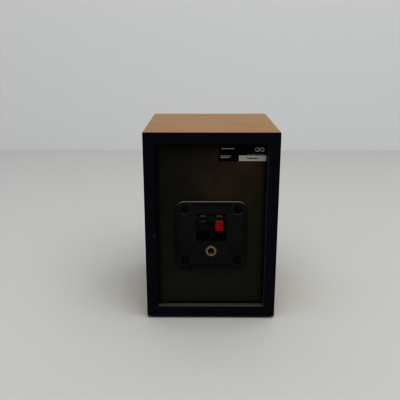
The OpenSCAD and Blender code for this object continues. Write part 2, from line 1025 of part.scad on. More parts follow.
module tweeter_faceplate() {
    color(plastic_black)
        on_baffle(tweeter_z)
            difference() {
                rotate_extrude()
                    polygon([
                        [horn_r, -tweeter_plate_t],
                        [tweeter_r, -tweeter_plate_t],
                        [tweeter_r, 0],
                        [housing_r, 0],
                        [housing_r, tweeter_plate[2]],
                        [throat_r + 1.4, tweeter_plate[2]],
                        [throat_r + 1.4, throat_depth],
                        [throat_r, throat_depth],
                        [throat_r, 0.4]
                    ]);
                for (a = [45 : 90 : 315]) {
                    rotate([0, 0, a])
                        translate([tweeter_screw_r, 0, -3]) {
                            cylinder(r = pilot_r + driver_screw_slack, h = 4);
                            cylinder(r = tweeter_screw_head[0] + 0.4, h = tweeter_head_seat);
                        }
                }
            }
}

module tweeter_dome() {
    color([0.12, 0.12, 0.13])
        on_baffle(tweeter_z)
            rotate_extrude()
                dome_profile(dome_sphere_r, dome_t, dome_r, dome_depth);
}

module tweeter_surround() {
    color([0.09, 0.09, 0.09])
        on_baffle(tweeter_z)
            rotate_extrude() {
                half_roll(tweeter_roll_r, tweeter_roll_h, tweeter_skin, throat_depth);
                ring_profile(
                    tweeter_roll_r + tweeter_roll_h - tweeter_skin, throat_r + 1.2,
                    throat_depth, throat_depth + tweeter_skin
                );
                ring_profile(
                    dome_r + fit_gap, tweeter_roll_r - tweeter_roll_h + tweeter_skin,
                    throat_depth, throat_depth + tweeter_skin
                );
            }
}

module tweeter_voice_coil() {
    color([0.72, 0.40, 0.22])
        on_baffle(tweeter_z)
            rotate_extrude()
                ring_profile(dome_r - 0.3, dome_r, dome_depth + fit_gap, 6);
}

module tweeter_top_plate() {
    color(steel)
        on_baffle(tweeter_z)
            rotate_extrude()
                ring_profile(tweeter_plate[0], tweeter_plate[1], tweeter_plate[2], tweeter_plate[3]);
}

module tweeter_magnet() {
    color(ferrite)
        on_baffle(tweeter_z)
            rotate_extrude()
                ring_profile(
                    tweeter_ferrite[0], tweeter_ferrite[1], tweeter_ferrite[2], tweeter_ferrite[3]
                );
}

module tweeter_pole_yoke() {
    color(steel)
        on_baffle(tweeter_z)
            rotate_extrude() {
                ring_profile(0, tweeter_pole_r, tweeter_plate[2], tweeter_ferrite[3] + 1);
                ring_profile(0, tweeter_yoke_r, tweeter_ferrite[3], tweeter_ferrite[3] + 2.5);
            }
}

module tweeter_tags() {
    color(brass)
        on_baffle(tweeter_z)
            for (x = [-tweeter_tag_x, tweeter_tag_x]) {
                translate([x - strip_tag_w / 2, tweeter_tag_low, tweeter_plate[2]])
                    cube([strip_tag_w, tinned_tag_t, 10]);
            }
}

module tweeter_screws() {
    color(ferrite)
        for (a = [45 : 90 : 315]) {
            screw_y(
                tweeter_screw_r * cos(a), tweeter_z + tweeter_screw_r * sin(a),
                front_y - tweeter_head_seat, 1,
                tweeter_screw_head[0], tweeter_screw_head[1], pilot_r, pilot_depth, tweeter_slot_l
            );
        }
}

// ---------- Crossover, wires and wadding ----------

module crossover_capacitor() {
    color([0.20, 0.28, 0.50])
        translate(capacitor_pos)
            rotate([-90, 0, 0]) {
                translate([0, 0, -capacitor_l / 2])
                    cylinder(r = capacitor_r, h = capacitor_l);
                translate([0, 0, -capacitor_l / 2 - capacitor_lead_l])
                    cylinder(r = capacitor_lead_r, h = capacitor_l + 2 * capacitor_lead_l);
            }
}

module capacitor_glue_pad() {
    pad_x = inner_w / 2 - glue_pad.x;
    color("khaki")
        difference() {
            translate([pad_x, capacitor_pos.y - glue_pad.y / 2, capacitor_pos.z - glue_pad.z / 2])
                cube(glue_pad);
            rod_y(
                capacitor_r + fit_gap, capacitor_pos.y - 10, capacitor_pos.y + 10,
                capacitor_pos.x, capacitor_pos.z
            );
        }
}

module woofer_wire_red() {
    color("red")
        swept_wire([for (p = woofer_lead_route) [-p.x, p.y, p.z]], wire_r);
}

module woofer_wire_black() {
    color([0.08, 0.08, 0.08])
        swept_wire(woofer_lead_route, wire_r);
}

module tweeter_wire_red() {
    color("red") {
        swept_wire(tweeter_red_route, wire_r);
        swept_wire(capacitor_tweeter_route, wire_r);
    }
}

module tweeter_wire_black() {
    color([0.08, 0.08, 0.08])
        swept_wire(tweeter_black_route, wire_r);
}

module damping_wadding() {
    color("white")
        translate([-wadding.x / 2, panel_inner_y - wadding.y, wadding_bottom_z])
            cube(wadding);
}

// ---------- Grille ----------

module grille_sockets() {
    color([0.08, 0.08, 0.08])
        for (x = [-peg_x, peg_x], z = peg_zs) {
            difference() {
                union() {
                    rod_y(socket_flange_r, front_y, front_y + 1, x, z);
                    rod_y(socket_r, front_y, front_y + baffle_t, x, z);
                }
                rod_y(socket_bore_r, front_y - 1, front_y + peg_l + 1, x, z);
            }
        }
}

module grille_frame() {
    color(paint_black)
        slab(front_y - grille_t + cloth_t, front_y)
            translate([0, box_z])
                difference() {
                    rounded_rect(grille_w, grille_h, 2);
                    square([grille_w - 2 * grille_bar_w, grille_h - 2 * gusset_s], center = true);
                    square([grille_w - 2 * gusset_s, grille_h - 2 * grille_bar_w], center = true);
                }
}

module grille_cloth() {
    color([0.06, 0.06, 0.06])
        slab(front_y - grille_t, front_y - grille_t + cloth_t)
            translate([0, box_z])
                rounded_rect(grille_w, grille_h, 2);
}

module grille_pegs() {
    color(plastic_black)
        for (x = [-peg_x, peg_x], z = peg_zs) {
            rod_y(peg_r, front_y, front_y + peg_l, x, z);
        }
}

top_board();
bottom_board();
left_side_board();
right_side_board();
veneer_wrap();
front_baffle();
rear_panel();
front_battens();
rear_battens();
rubber_feet();
rating_label();
serial_sticker();
terminal_plate();
terminal_gasket();
terminal_plate_screws();
terminal_housing();
lever_hinge_rod();
red_lever();
black_lever();
red_contact_spring();
black_contact_spring();
terminal_tags();
wall_bracket_insert();
insert_nut();
woofer_basket();
woofer_gasket();
woofer_surround();
woofer_cone();
woofer_dust_cap();
woofer_spider();
voice_coil_former();
voice_coil();
woofer_top_plate();
woofer_magnet();
woofer_pole_yoke();
woofer_tag_strip();
woofer_tinsel_leads();
woofer_screws();
tweeter_faceplate();
tweeter_dome();
tweeter_surround();
tweeter_voice_coil();
tweeter_top_plate();
tweeter_magnet();
tweeter_pole_yoke();
tweeter_tags();
tweeter_screws();
crossover_capacitor();
capacitor_glue_pad();
woofer_wire_red();
woofer_wire_black();
tweeter_wire_red();
tweeter_wire_black();
damping_wadding();
grille_sockets();
grille_frame();
grille_cloth();
grille_pegs();
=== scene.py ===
"""Looks of the bookshelf speaker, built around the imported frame.

Shapes are worked out in millimetres in the row frame and stored in metres.
The terminals face +Y, the grille faces -Y, and the shelf is at Z = 0.
"""

import json
import math

import bmesh
import bpy
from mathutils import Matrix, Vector, noise
from mathutils.geometry import tessellate_polygon


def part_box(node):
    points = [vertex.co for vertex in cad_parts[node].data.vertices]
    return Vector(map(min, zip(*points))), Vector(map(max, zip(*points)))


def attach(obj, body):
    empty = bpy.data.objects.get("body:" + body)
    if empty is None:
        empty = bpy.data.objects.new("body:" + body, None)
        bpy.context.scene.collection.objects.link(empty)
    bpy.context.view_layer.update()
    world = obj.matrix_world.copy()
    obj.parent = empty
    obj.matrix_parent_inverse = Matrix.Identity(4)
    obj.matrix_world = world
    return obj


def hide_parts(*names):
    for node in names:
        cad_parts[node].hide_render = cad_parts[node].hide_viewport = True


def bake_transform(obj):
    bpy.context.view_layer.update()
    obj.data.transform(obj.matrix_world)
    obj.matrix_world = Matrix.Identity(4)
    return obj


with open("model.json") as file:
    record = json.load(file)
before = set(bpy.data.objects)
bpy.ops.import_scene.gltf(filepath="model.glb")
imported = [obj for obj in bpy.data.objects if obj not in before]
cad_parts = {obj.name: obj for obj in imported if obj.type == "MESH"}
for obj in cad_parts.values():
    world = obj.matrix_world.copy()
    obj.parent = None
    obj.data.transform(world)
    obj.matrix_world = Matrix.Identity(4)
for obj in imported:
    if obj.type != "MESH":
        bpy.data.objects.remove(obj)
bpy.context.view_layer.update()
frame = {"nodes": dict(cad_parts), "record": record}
scene = bpy.context.scene
MM = 0.001
NO_RADIUS = 0.001


def span(node):
    """Lowest and highest corner of a CAD node, in mm."""
    low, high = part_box(node)
    return low / MM, high / MM


def middle_of(node, axis):
    """The middle of a CAD node's box along an axis (1 or 2 for Y or Z), in mm."""
    low, high = span(node)
    return (low[axis] + high[axis]) / 2


# ---------- Main sizes, read from the frame ----------

BOX_LOW, BOX_HIGH = span("veneer_wrap")
WIDTH = BOX_HIGH.x - BOX_LOW.x
HEIGHT = BOX_HIGH.z - BOX_LOW.z
FRONT_Y, REAR_Y = BOX_LOW.y, BOX_HIGH.y
MID_Z = (BOX_LOW.z + BOX_HIGH.z) / 2
WRAP_T = BOX_HIGH.z - span("top_board")[1].z
BOARD_T = span("top_board")[1].z - span("top_board")[0].z
PANEL_Y = span("rear_panel")[1].y
INNER_W = WIDTH - 2 * (WRAP_T + BOARD_T)
INNER_H = HEIGHT - 2 * (WRAP_T + BOARD_T)
LEDGE_Z = BOX_LOW.z + WRAP_T + BOARD_T
WOOFER_Z = middle_of("woofer_cone", 2)
TWEETER_Z = middle_of("tweeter_dome", 2)
PLATE_Z = middle_of("terminal_plate", 2)
PLATE_RIM_Y = span("terminal_plate")[1].y
HINGE_Y, HINGE_Z = middle_of("lever_hinge_rod", 1), middle_of("lever_hinge_rod", 2)


# ---------- Mesh helpers ----------

def fillet(corners, steps=5):
    """A closed outline from corners (a, b) or (a, b, radius), with each radius drawn as an arc."""
    outline = []
    count = len(corners)
    for i, corner in enumerate(corners):
        here = Vector(corner[:2])
        radius = corner[2] if len(corner) > 2 else 0
        if not radius:
            outline.append(tuple(here))
            continue
        back = (Vector(corners[i - 1][:2]) - here).normalized()
        ahead = (Vector(corners[(i + 1) % count][:2]) - here).normalized()
        half = back.angle(ahead) / 2
        centre = here + (back + ahead).normalized() * (radius / math.sin(half))
        first = here + back * (radius / math.tan(half)) - centre
        last = here + ahead * (radius / math.tan(half)) - centre
        sweep = first.angle_signed(last)
        for k in range(steps + 1):
            turn = -sweep * k / steps
            cos, sin = math.cos(turn), math.sin(turn)
            point = Vector((first.x * cos - first.y * sin, first.x * sin + first.y * cos))
            outline.append(tuple(centre + point))
    return outline


def rounded_loop(w, h, r, steps=6, runs=None):
    """A rounded rectangle in X and Z about the origin, as points that run the same way for every size.

    runs gives how many parts each level side and each upright side is cut into.
    """
    loop = []
    for sx, sz, start in [(1, 1, 0), (-1, 1, 90), (-1, -1, 180), (1, -1, 270)]:
        for k in range(steps + 1):
            a = math.radians(start + 90 * k / steps)
            loop.append((sx * (w / 2 - r) + r * math.cos(a), sz * (h / 2 - r) + r * math.sin(a)))
    if runs is None:
        return loop
    filled = []
    for i, a in enumerate(loop):
        b = loop[(i + 1) % len(loop)]
        corner, step = divmod(i, steps + 1)
        parts = runs[corner % 2] if step == steps else 1
        dx, dz = b[0] - a[0], b[1] - a[1]
        filled += [(a[0] + dx * k / parts, a[1] + dz * k / parts) for k in range(parts)]
    return filled


def turns(steps):
    """The cosine and the sine at each step of one full turn."""
    return [(math.cos(a), math.sin(a)) for a in (2 * math.pi * k / steps for k in range(steps))]


def circle(x, z, r, steps):
    """Points of a circle in X and Z."""
    return [(x + r * cos, z + r * sin) for cos, sin in turns(steps)]


def inner_corners(low, high, inset, axes=(0, 2)):
    """The four points that lie inset mm inside a box's corners, in two of its axes."""
    a, b = axes
    return [(x, y) for x in (low[a] + inset, high[a] - inset) for y in (low[b] + inset, high[b] - inset)]


class Shape:
    """Points in mm and faces, gathered from one or more solids."""

    def __init__(self):
        self.points = []
        self.faces = []

    def add(self, points, faces):
        start = len(self.points)
        self.points += [tuple(p) for p in points]
        self.faces += [[start + i for i in f] for f in faces]
        return self

    def loft(self, rings, closed=True, caps=False, ring_closed=True):
        """Joins rings of equally many points. closed joins the last ring to the first."""
        n = len(rings[0])
        points = [p for ring in rings for p in ring]
        faces = []
        spans = len(rings) if closed else len(rings) - 1
        for i in range(spans):
            j = (i + 1) % len(rings)
            for k in range(n if ring_closed else n - 1):
                m = (k + 1) % n
                faces.append([i * n + k, i * n + m, j * n + m, j * n + k])
        if caps:
            faces.append([k for k in range(n - 1, -1, -1)])
            faces.append([(len(rings) - 1) * n + k for k in range(n)])
        return self.add(points, faces)

    def lathe(self, profile, x=0, z=0, y=0, steps=96, upright=False, closed=True):
        """Turns a profile of (radius, place) about an axis along Y, or along Z if upright."""
        rings = []
        for cos, sin in turns(steps):
            if upright:
                rings.append([(x + r * cos, y + r * sin, z + s) for r, s in profile])
            else:
                rings.append([(x + r * cos, y + s, z + r * sin) for r, s in profile])
        return self.loft(rings, ring_closed=closed)

    def prism(self, outline, holes, y0, y1):
        """An outline in X and Z with holes, from y0 to y1."""
        loops = [outline, *holes]
        flat = [p for loop in loops for p in loop]
        n = len(flat)
        points = [(px, y0, pz) for px, pz in flat] + [(px, y1, pz) for px, pz in flat]
        faces = []
        for tri in tessellate_polygon([[Vector((*p, 0)) for p in loop] for loop in loops]):
            faces.append(list(tri))
            faces.append([n + i for i in reversed(tri)])
        start = 0
        for loop in loops:
            count = len(loop)
            for k in range(count):
                m = (k + 1) % count
                faces.append([start + k, start + m, n + start + m, n + start + k])
            start += count
        return self.add(points, faces)

    def mesh(self, name, uv_layer=None, uv=()):
        """The shape as a clean mesh, with a place in mm on a UV layer for each point if uv is given."""
        mesh = bpy.data.meshes.new(name)
        mesh.from_pydata([Vector(p) * MM for p in self.points], [], self.faces)
        if uv_layer:
            layer = mesh.uv_layers.new(name=uv_layer)
            for loop in mesh.loops:
                layer.data[loop.index].uv = uv[loop.vertex_index]
        clean(mesh)
        return mesh


def clean(mesh, weld=0.0005, bevel=0, sharp=30, steps=2, where=None):
    """Welds doubles and points the faces outwards.

    bevel rounds the edges sharper than sharp degrees by that many mm, or only those that where picks.
    """
    shape = bmesh.new()
    shape.from_mesh(mesh)
    bmesh.ops.remove_doubles(shape, verts=shape.verts, dist=weld * MM)
    bmesh.ops.dissolve_degenerate(shape, edges=shape.edges, dist=weld * MM)
    bmesh.ops.recalc_face_normals(shape, faces=shape.faces)
    if bevel:
        limit = math.radians(sharp)
        bmesh.ops.dissolve_limit(
            shape, angle_limit=math.radians(0.5), verts=shape.verts, edges=shape.edges, delimit={"MATERIAL"}
        )
        edges = [
            e for e in shape.edges
            if len(e.link_faces) == 2 and e.calc_face_angle(0) > limit and (where is None or where(e))
        ]
        bmesh.ops.bevel(
            shape, geom=edges, offset=bevel * MM, offset_type="OFFSET", segments=steps,
            profile=0.5, affect="EDGES", clamp_overlap=True, material=-1,
        )
        bmesh.ops.remove_doubles(shape, verts=shape.verts, dist=weld * MM)
        big = [f for f in shape.faces if len(f.verts) > 4]
        bmesh.ops.triangulate(shape, faces=big)
        bmesh.ops.recalc_face_normals(shape, faces=shape.faces)
    shape.to_mesh(mesh)
    shape.free()


def piece(name, mesh, slot, nodes, body="cabinet", finishes=(), smooth=40):
    """A shown piece: it rides on a body, stands for CAD nodes and takes its finish from a slot."""
    made = bpy.data.objects.new(name, mesh)
    scene.collection.objects.link(made)
    mesh.polygons.foreach_set("use_smooth", [True] * len(mesh.polygons))
    mesh.set_sharp_from_angle(angle=math.radians(smooth))
    for finish in finishes or [FINISH[slot]]:
        mesh.materials.append(finish)
    if body:
        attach(made, body)
    if nodes:
        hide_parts(*nodes)
    return made


def cad_copy(node):
    """A new mesh with a CAD node's shape and no material or stored normals."""
    mesh = frame["nodes"][node].data.copy()
    mesh.materials.clear()
    if "custom_normal" in mesh.attributes:
        mesh.attributes.remove(mesh.attributes["custom_normal"])
    return mesh


def rounded_copy(node, name, slot, bevel, body="cabinet", steps=2, finishes=()):
    """A CAD node's own shape with its sharp edges rounded, standing for that node."""
    mesh = cad_copy(node)
    clean(mesh, weld=0.002, bevel=bevel, steps=steps)
    return piece(name, mesh, slot, [node], body, finishes)


# ---------- Material helpers ----------

def join(tree, value, socket):
    """Links another node's output to a socket, or sets a plain value on it."""
    if isinstance(value, bpy.types.NodeSocket):
        tree.links.new(value, socket)
    else:
        socket.default_value = value


def add_node(tree, kind, inputs, **settings):
    """A new shader node with its settings and with what goes into its sockets."""
    made = tree.nodes.new("ShaderNode" + kind)
    for name, value in settings.items():
        setattr(made, name, value)
    for name, value in inputs.items():
        join(tree, value, made.inputs[name])
    return made


def smooth_step(tree, value, low, high, to_low=0.0, to_high=1.0):
    """value from low to high becomes to_low to to_high, smoothly, and is held outside."""
    inputs = {"Value": value, "From Min": low, "From Max": high, "To Min": to_low, "To Max": to_high}
    return add_node(tree, "MapRange", inputs, interpolation_type="SMOOTHSTEP").outputs["Result"]


class Finish:
    """A Principled material whose textures are laid out in mm of the row frame, or of a UV map in mm."""

    def __init__(self, name, base, roughness, uv=None, **sockets):
        self.material = bpy.data.materials.new(name)
        self.material.use_nodes = True
        self.tree = self.material.node_tree
        self.shader = self.tree.nodes["Principled BSDF"]
        self.shader.inputs["Base Color"].default_value = (*base, 1)
        self.shader.inputs["Roughness"].default_value = roughness
        for socket, value in sockets.items():
            self.shader.inputs[socket.replace("_", " ")].default_value = value
        if uv:
            self.mm = self.node("UVMap", {}, uv_map=uv).outputs["UV"]
        else:
            place = self.node("TexCoord", {}).outputs["Object"]
            self.mm = self.node("VectorMath", {0: place, "Scale": 1 / MM}, operation="SCALE").outputs[0]

    def node(self, kind, inputs, **settings):
        return add_node(self.tree, kind, inputs, **settings)

    def math(self, operation, a, b=0.0):
        return self.node("Math", {0: a, 1: b}, operation=operation).outputs[0]

    def times(self, a, b):
        return self.math("MULTIPLY", a, b)

    def larger(self, a, b):
        return self.math("MAXIMUM", a, b)

    def wave(self, value, rate):
        return self.math("SINE", self.times(value, rate))

    def off(self, value, centre):
        """How far a value is from a centre, on either side."""
        return self.math("ABSOLUTE", self.math("SUBTRACT", value, centre))

    def step(self, value, low, high, to_low=0.0, to_high=1.0):
        return smooth_step(self.tree, value, low, high, to_low, to_high)

    def axes(self):
        return tuple(self.node("SeparateXYZ", {0: self.mm}).outputs)

    def scaled(self, size, stretch):
        """Places counted in patches of size mm, and stretch times that along each axis."""
        rates = tuple(1 / (size * s) for s in stretch)
        return self.node("VectorMath", {0: self.mm, 1: rates}, operation="MULTIPLY").outputs[0]

    def noise(self, size, stretch=(1, 1, 1), detail=2.0, rough=0.5, twist=0.0):
        """Noise whose patches are about size mm across, and stretch times that along each axis."""
        inputs = {
            "Vector": self.scaled(size, stretch), "Scale": 1.0, "Detail": detail, "Roughness": rough,
            "Distortion": twist,
        }
        return self.node("TexNoise", inputs).outputs["Fac"]

    def cells(self, size):
        """Distance from the middle of the nearest of many cells about size mm across."""
        inputs = {"Vector": self.scaled(size, (1, 1, 1)), "Scale": 1.0}
        return self.node("TexVoronoi", inputs).outputs["Distance"]

    def specks(self, amount):
        """Fine specks of dust, up to amount."""
        return self.step(self.noise(0.3, detail=2), 0.68, 0.82, 0.0, amount)

    def mix(self, factor, a, b):
        """Colour a where factor is 0 and b where it is 1."""
        sides = [side if isinstance(side, bpy.types.NodeSocket) else (*side, 1) for side in (a, b)]
        return self.node("Mix", {0: factor, 6: sides[0], 7: sides[1]}, data_type="RGBA").outputs[2]

    def colour(self, value):
        join(self.tree, value, self.shader.inputs["Base Color"])

    def roughness(self, value, low, high):
        join(self.tree, self.step(value, 0.25, 0.75, low, high), self.shader.inputs["Roughness"])

    def bump(self, height, depth):
        """Raises the surface by height times depth mm, on top of any earlier bump."""
        made = self.node("Bump", {"Height": height, "Distance": depth * MM, "Strength": 1.0})
        earlier = self.shader.inputs["Normal"].links
        if earlier:
            join(self.tree, earlier[0].from_socket, made.inputs["Normal"])
        join(self.tree, made.outputs["Normal"], self.shader.inputs["Normal"])

    def grain(self, roughness, size, depth):
        """The uneven gloss and the fine spark-eroded grain of a moulded plastic."""
        self.roughness(self.noise(6, detail=4, rough=0.6), roughness - 0.07, roughness + 0.08)
        self.bump(self.noise(size, detail=2), depth)

    def facing(self, axis):
        """1 where the surface looks along an axis (0, 1 or 2 for X, Y or Z), 0 where it looks sideways."""
        normal = self.node("NewGeometry", {}).outputs["Normal"]
        return self.node("SeparateXYZ", {0: normal}).outputs[axis]

    def near(self, point, radius):
        """1 at a point in mm, falling to 0 at radius."""
        away = self.node("VectorMath", {0: self.mm, 1: point}, operation="DISTANCE").outputs["Value"]
        return self.step(away, 0.3 * radius, radius, 1.0, 0.0)


def painted_edge(name, base, worn):
    """Rolled matt paint on fibreboard: a fine orange peel, dust and a few rubbed places, and a painted
    highlight on the inner wall of the board at -X.
    """
    f = Finish(name, base, 0.5, Specular_IOR_Level=0.2)
    x, y, z = f.axes()
    rubbed = f.step(f.noise(5, detail=5, rough=0.65), 0.62, 0.78)
    by_side = f.step(f.off(x, 0.0), WIDTH / 2 - 1.3, WIDTH / 2 - 0.5)
    by_end = f.step(f.off(z, MID_Z), HEIGHT / 2 - 1.3, HEIGHT / 2 - 0.5)
    marks = f.times(f.larger(by_side, by_end), rubbed)
    for point, radius in WORN_SPOTS:
        marks = f.larger(marks, f.near(point, radius))
    dust = f.step(f.noise(0.35, detail=1), 0.66, 0.8, 0.0, 0.35)
    paint = f.mix(f.larger(marks, dust), base, worn)
    ledge = f.step(f.off(z, LEDGE_Z), 0.1, 0.5, 1.0, 0.0)
    settled = f.times(ledge, f.step(f.facing(2), 0.3, 0.8))
    settled = f.times(settled, f.step(f.noise(0.8, detail=3), 0.3, 0.55, 0.35, 1.0))
    # The inner wall of the board at -X, facing +X, is painted grey: a painted highlight. The same grey is
    # the dust on the ledge.
    side = f.step(f.off(x, -INNER_W / 2), 0.1, 0.5, 0.8, 0.0)
    side = f.times(side, f.step(f.facing(0), 0.3, 0.7))
    behind = f.step(y, PANEL_Y - 0.5, PANEL_Y)
    grey = (0.14, 0.135, 0.12)
    f.colour(f.mix(f.times(f.larger(settled, side), behind), paint, grey))
    f.roughness(f.noise(14, detail=3), 0.42, 0.6)
    f.bump(f.noise(0.9, detail=2), 0.035)
    f.bump(f.noise(0.22, detail=1), 0.012)
    return f.material


def wood_vinyl():
    """Wood-pattern film: long streaks round the box, short dark pores and a satin print."""
    f = Finish("wood_vinyl", (0.34, 0.21, 0.12), 0.45, uv="wrap_mm", Specular_IOR_Level=0.4)
    broad = f.noise(9, (9, 1, 1), detail=3, rough=0.55, twist=0.25)
    streak = f.noise(1.3, (26, 1, 1), detail=4, rough=0.65)
    fine = f.noise(0.35, (40, 1, 1), detail=2)
    pores = f.step(f.noise(0.28, (14, 1, 1), detail=1), 0.62, 0.72)
    tone = f.math("ADD", f.times(broad, 0.55), f.times(streak, 0.45))
    light, mid, dark = (0.412, 0.264, 0.143), (0.354, 0.224, 0.115), (0.260, 0.155, 0.075)
    wood = f.mix(f.step(tone, 0.33, 0.5), dark, mid)
    wood = f.mix(f.step(tone, 0.48, 0.66), wood, light)
    wood = f.mix(f.times(f.step(fine, 0.4, 0.7), 0.16), wood, light)
    wood = f.mix(f.times(pores, 0.5), wood, dark)
    f.colour(wood)
    f.roughness(streak, 0.38, 0.52)
    f.bump(pores, -0.03)
    f.bump(streak, 0.02)
    return f.material


def hardboard():
    """Black-stained hardboard: dark olive with a warm cloud, short pressed fibres and some fluff, with
    painted shade towards its top at +X and along the edges of the recess.
    """
    olive, brown, black = (0.052, 0.050, 0.038), (0.084, 0.061, 0.040), (0.018, 0.016, 0.013)
    f = Finish("panel_board", olive, 0.7, Specular_IOR_Level=0.12)
    cloud = f.noise(38, detail=3, rough=0.55)
    warm = f.near((-0.14 * WIDTH, REAR_Y, MID_Z + 0.26 * HEIGHT), 0.46 * WIDTH)
    # shade marks where the panel is painted darker towards its top at +X, under the top board: painted
    # shade.
    shade = f.near((0.45 * WIDTH, REAR_Y, MID_Z + 0.5 * HEIGHT), 0.75 * WIDTH)
    fibres = f.noise(0.45, (3.5, 1, 1), detail=3, rough=0.6, twist=0.6)
    across = f.noise(0.5, (1, 1, 3), detail=3, rough=0.6, twist=0.5)
    stain_and_shade = f.mix(f.times(warm, f.step(cloud, 0.3, 0.6, 0.45, 1.0)), olive, brown)
    stain_and_shade = f.mix(f.times(shade, 0.4), stain_and_shade, black)
    stain_and_shade = f.mix(f.step(cloud, 0.35, 0.6, 0.28, 0.0), stain_and_shade, black)
    x, _, z = f.axes()
    # Darker within 5 mm of the recess's inner edges: painted shade.
    from_side = f.math("SUBTRACT", INNER_W / 2, f.off(x, 0.0))
    from_end = f.math("SUBTRACT", INNER_H / 2, f.off(z, MID_Z))
    stain_and_shade = f.mix(f.step(f.math("MINIMUM", from_side, from_end), 0.5, 5.0, 0.8, 0.0), stain_and_shade, black)
    stain_and_shade = f.mix(f.step(fibres, 0.35, 0.6, 0.45, 0.0), stain_and_shade, black)
    fluff = f.step(f.cells(1.9), 0.05, 0.12, 0.16, 0.0)
    f.colour(f.mix(fluff, stain_and_shade, (0.11, 0.10, 0.08)))
    f.roughness(fibres, 0.58, 0.8)
    f.bump(fibres, 0.05)
    f.bump(across, 0.04)
    return f.material


def moulded(name, base, roughness, grain=0.18, depth=0.012):
    """Moulded plastic with a spark-eroded grain, slow sheen changes and settled dust."""
    f = Finish(name, base, roughness, Specular_IOR_Level=0.5)
    lighter = tuple(0.75 * c + 0.016 for c in base)
    f.colour(f.mix(f.specks(0.22), base, lighter))
    f.grain(roughness, grain, depth)
    return f.material


def lever_plastic(name, base):
    """A lever's moulded plastic, with dark specks and painted shade in the groove under its hood."""
    specks_and_shade, roughness = (0.0045, 0.0042, 0.0042), 0.36
    f = Finish(name, base, roughness, Specular_IOR_Level=0.32)
    _, _, z = f.axes()
    # groove is painted shade: the lever turns darker towards the hinge, under the hood.
    groove = f.step(z, HINGE_Z - 4.2, HINGE_Z - 2.4, 0.0, 0.92)
    f.colour(f.mix(f.larger(groove, f.specks(0.22)), base, specks_and_shade))
    f.grain(roughness, 0.14, 0.006)
    return f.material


def plate_plastic():
    """The plate's moulded plastic, with light specks and a painted highlight along its top lip."""
    base, dust, roughness = (0.0060, 0.0060, 0.0064), (0.30, 0.29, 0.25), 0.38
    f = Finish("terminal_plastic", base, roughness, Specular_IOR_Level=0.45)
    _, y, z = f.axes()
    # The colour called dust is painted on up-facing faces along the top lip as a painted highlight, and on
    # the light specks.
    top = f.times(f.step(f.facing(2), 0.25, 0.8), f.step(z, PLATE_Z + 14, PLATE_Z + 17))
    lip = f.times(top, f.step(y, PLATE_RIM_Y - 3.0, PLATE_RIM_Y - 1.4))
    patchy = f.step(f.noise(2.5, detail=4, rough=0.6), 0.3, 0.6, 0.6, 1.0)
    f.colour(f.mix(f.larger(f.times(lip, patchy), f.specks(0.12)), base, dust))
    f.grain(roughness, 0.18, 0.012)
    return f.material


def brass_turned():
    """Turned brass: fine rings about the insert's axis, warm patches, and painted shade darkening the bore.
    """
    bright, warm, dark = (0.32, 0.265, 0.165), (0.24, 0.17, 0.08), (0.055, 0.045, 0.03)
    f = Finish("brass", bright, 0.28, Metallic=1.0)
    tarnish = f.noise(1.6, detail=4, rough=0.6)
    low, high = span("wall_bracket_insert")
    x, _, z = f.axes()
    away = f.math("SUBTRACT", z, (low.z + high.z) / 2)
    radius = f.math("SQRT", f.math("ADD", f.times(x, x), f.times(away, away)))
    turned = f.mix(f.step(tarnish, 0.45, 0.72), bright, warm)
    # Inside 2.5 to 3.1 mm from the axis the brass is painted dark: painted shade in the bore.
    f.colour(f.mix(f.step(radius, 2.5, 3.1), dark, turned))
    f.roughness(tarnish, 0.24, 0.42)
    f.bump(f.wave(radius, 42.0), 0.003)
    return f.material


def metal(name, base, roughness, scratch=0.004, streaks=(1, 8, 1)):
    """Plated or ground metal with fine directional marks and cloudy gloss."""
    f = Finish(name, base, roughness, Metallic=1.0)
    cloud = f.noise(3, detail=4)
    darker = tuple(0.6 * c for c in base)
    f.colour(f.mix(f.step(cloud, 0.5, 0.8), base, darker))
    f.roughness(cloud, roughness - 0.08, roughness + 0.12)
    f.bump(f.noise(0.12, streaks, detail=2), scratch)
    return f.material


def windings(name):
    """Enamelled copper wire wound in even turns along Y, painted dark between the turns and light on their
    crowns: painted shade and highlight.
    """
    f = Finish(name, (0.62, 0.26, 0.12), 0.3, Metallic=0.9)
    _, y, _ = f.axes()
    wires = f.wave(y, 2 * math.pi / 0.25)
    f.bump(wires, 0.05)
    # The colour follows the turns: painted shade between them and a painted highlight on their crowns.
    f.colour(f.mix(f.step(wires, -0.6, 0.4), (0.22, 0.07, 0.03), (0.66, 0.28, 0.13)))
    return f.material


def pine():
    f = Finish("batten_wood", (0.5, 0.36, 0.22), 0.7)
    grain = f.noise(1.5, (12, 1, 6), detail=4, rough=0.6, twist=0.8)
    f.colour(f.mix(f.step(grain, 0.35, 0.65), (0.42, 0.28, 0.15), (0.62, 0.46, 0.29)))
    f.bump(grain, 0.05)
    return f.material


def rubber():
    f = Finish("rubber", (0.016, 0.016, 0.017), 0.62, Specular_IOR_Level=0.4)
    bloom = f.noise(4, detail=5, rough=0.65)
    f.colour(f.mix(f.step(bloom, 0.45, 0.8), (0.014, 0.014, 0.015), (0.034, 0.033, 0.031)))
    f.roughness(bloom, 0.5, 0.72)
    f.bump(f.noise(0.25, detail=3), 0.01)
    return f.material


def fibrous(name, base, light, size=0.5, depth=0.04, roughness=0.8, sheen=0.0):
    """Paper, card, felt or foam: a mat of short fibres in two tones."""
    f = Finish(name, base, roughness, Specular_IOR_Level=0.25, Sheen_Weight=sheen)
    mat = f.noise(size, (3, 1, 1), detail=5, rough=0.7, twist=1.2)
    other = f.noise(size, (1, 1, 3), detail=5, rough=0.7, twist=1.0)
    f.colour(f.mix(f.step(f.larger(mat, other), 0.5, 0.8), base, light))
    f.bump(mat, depth)
    f.bump(other, depth)
    return f.material


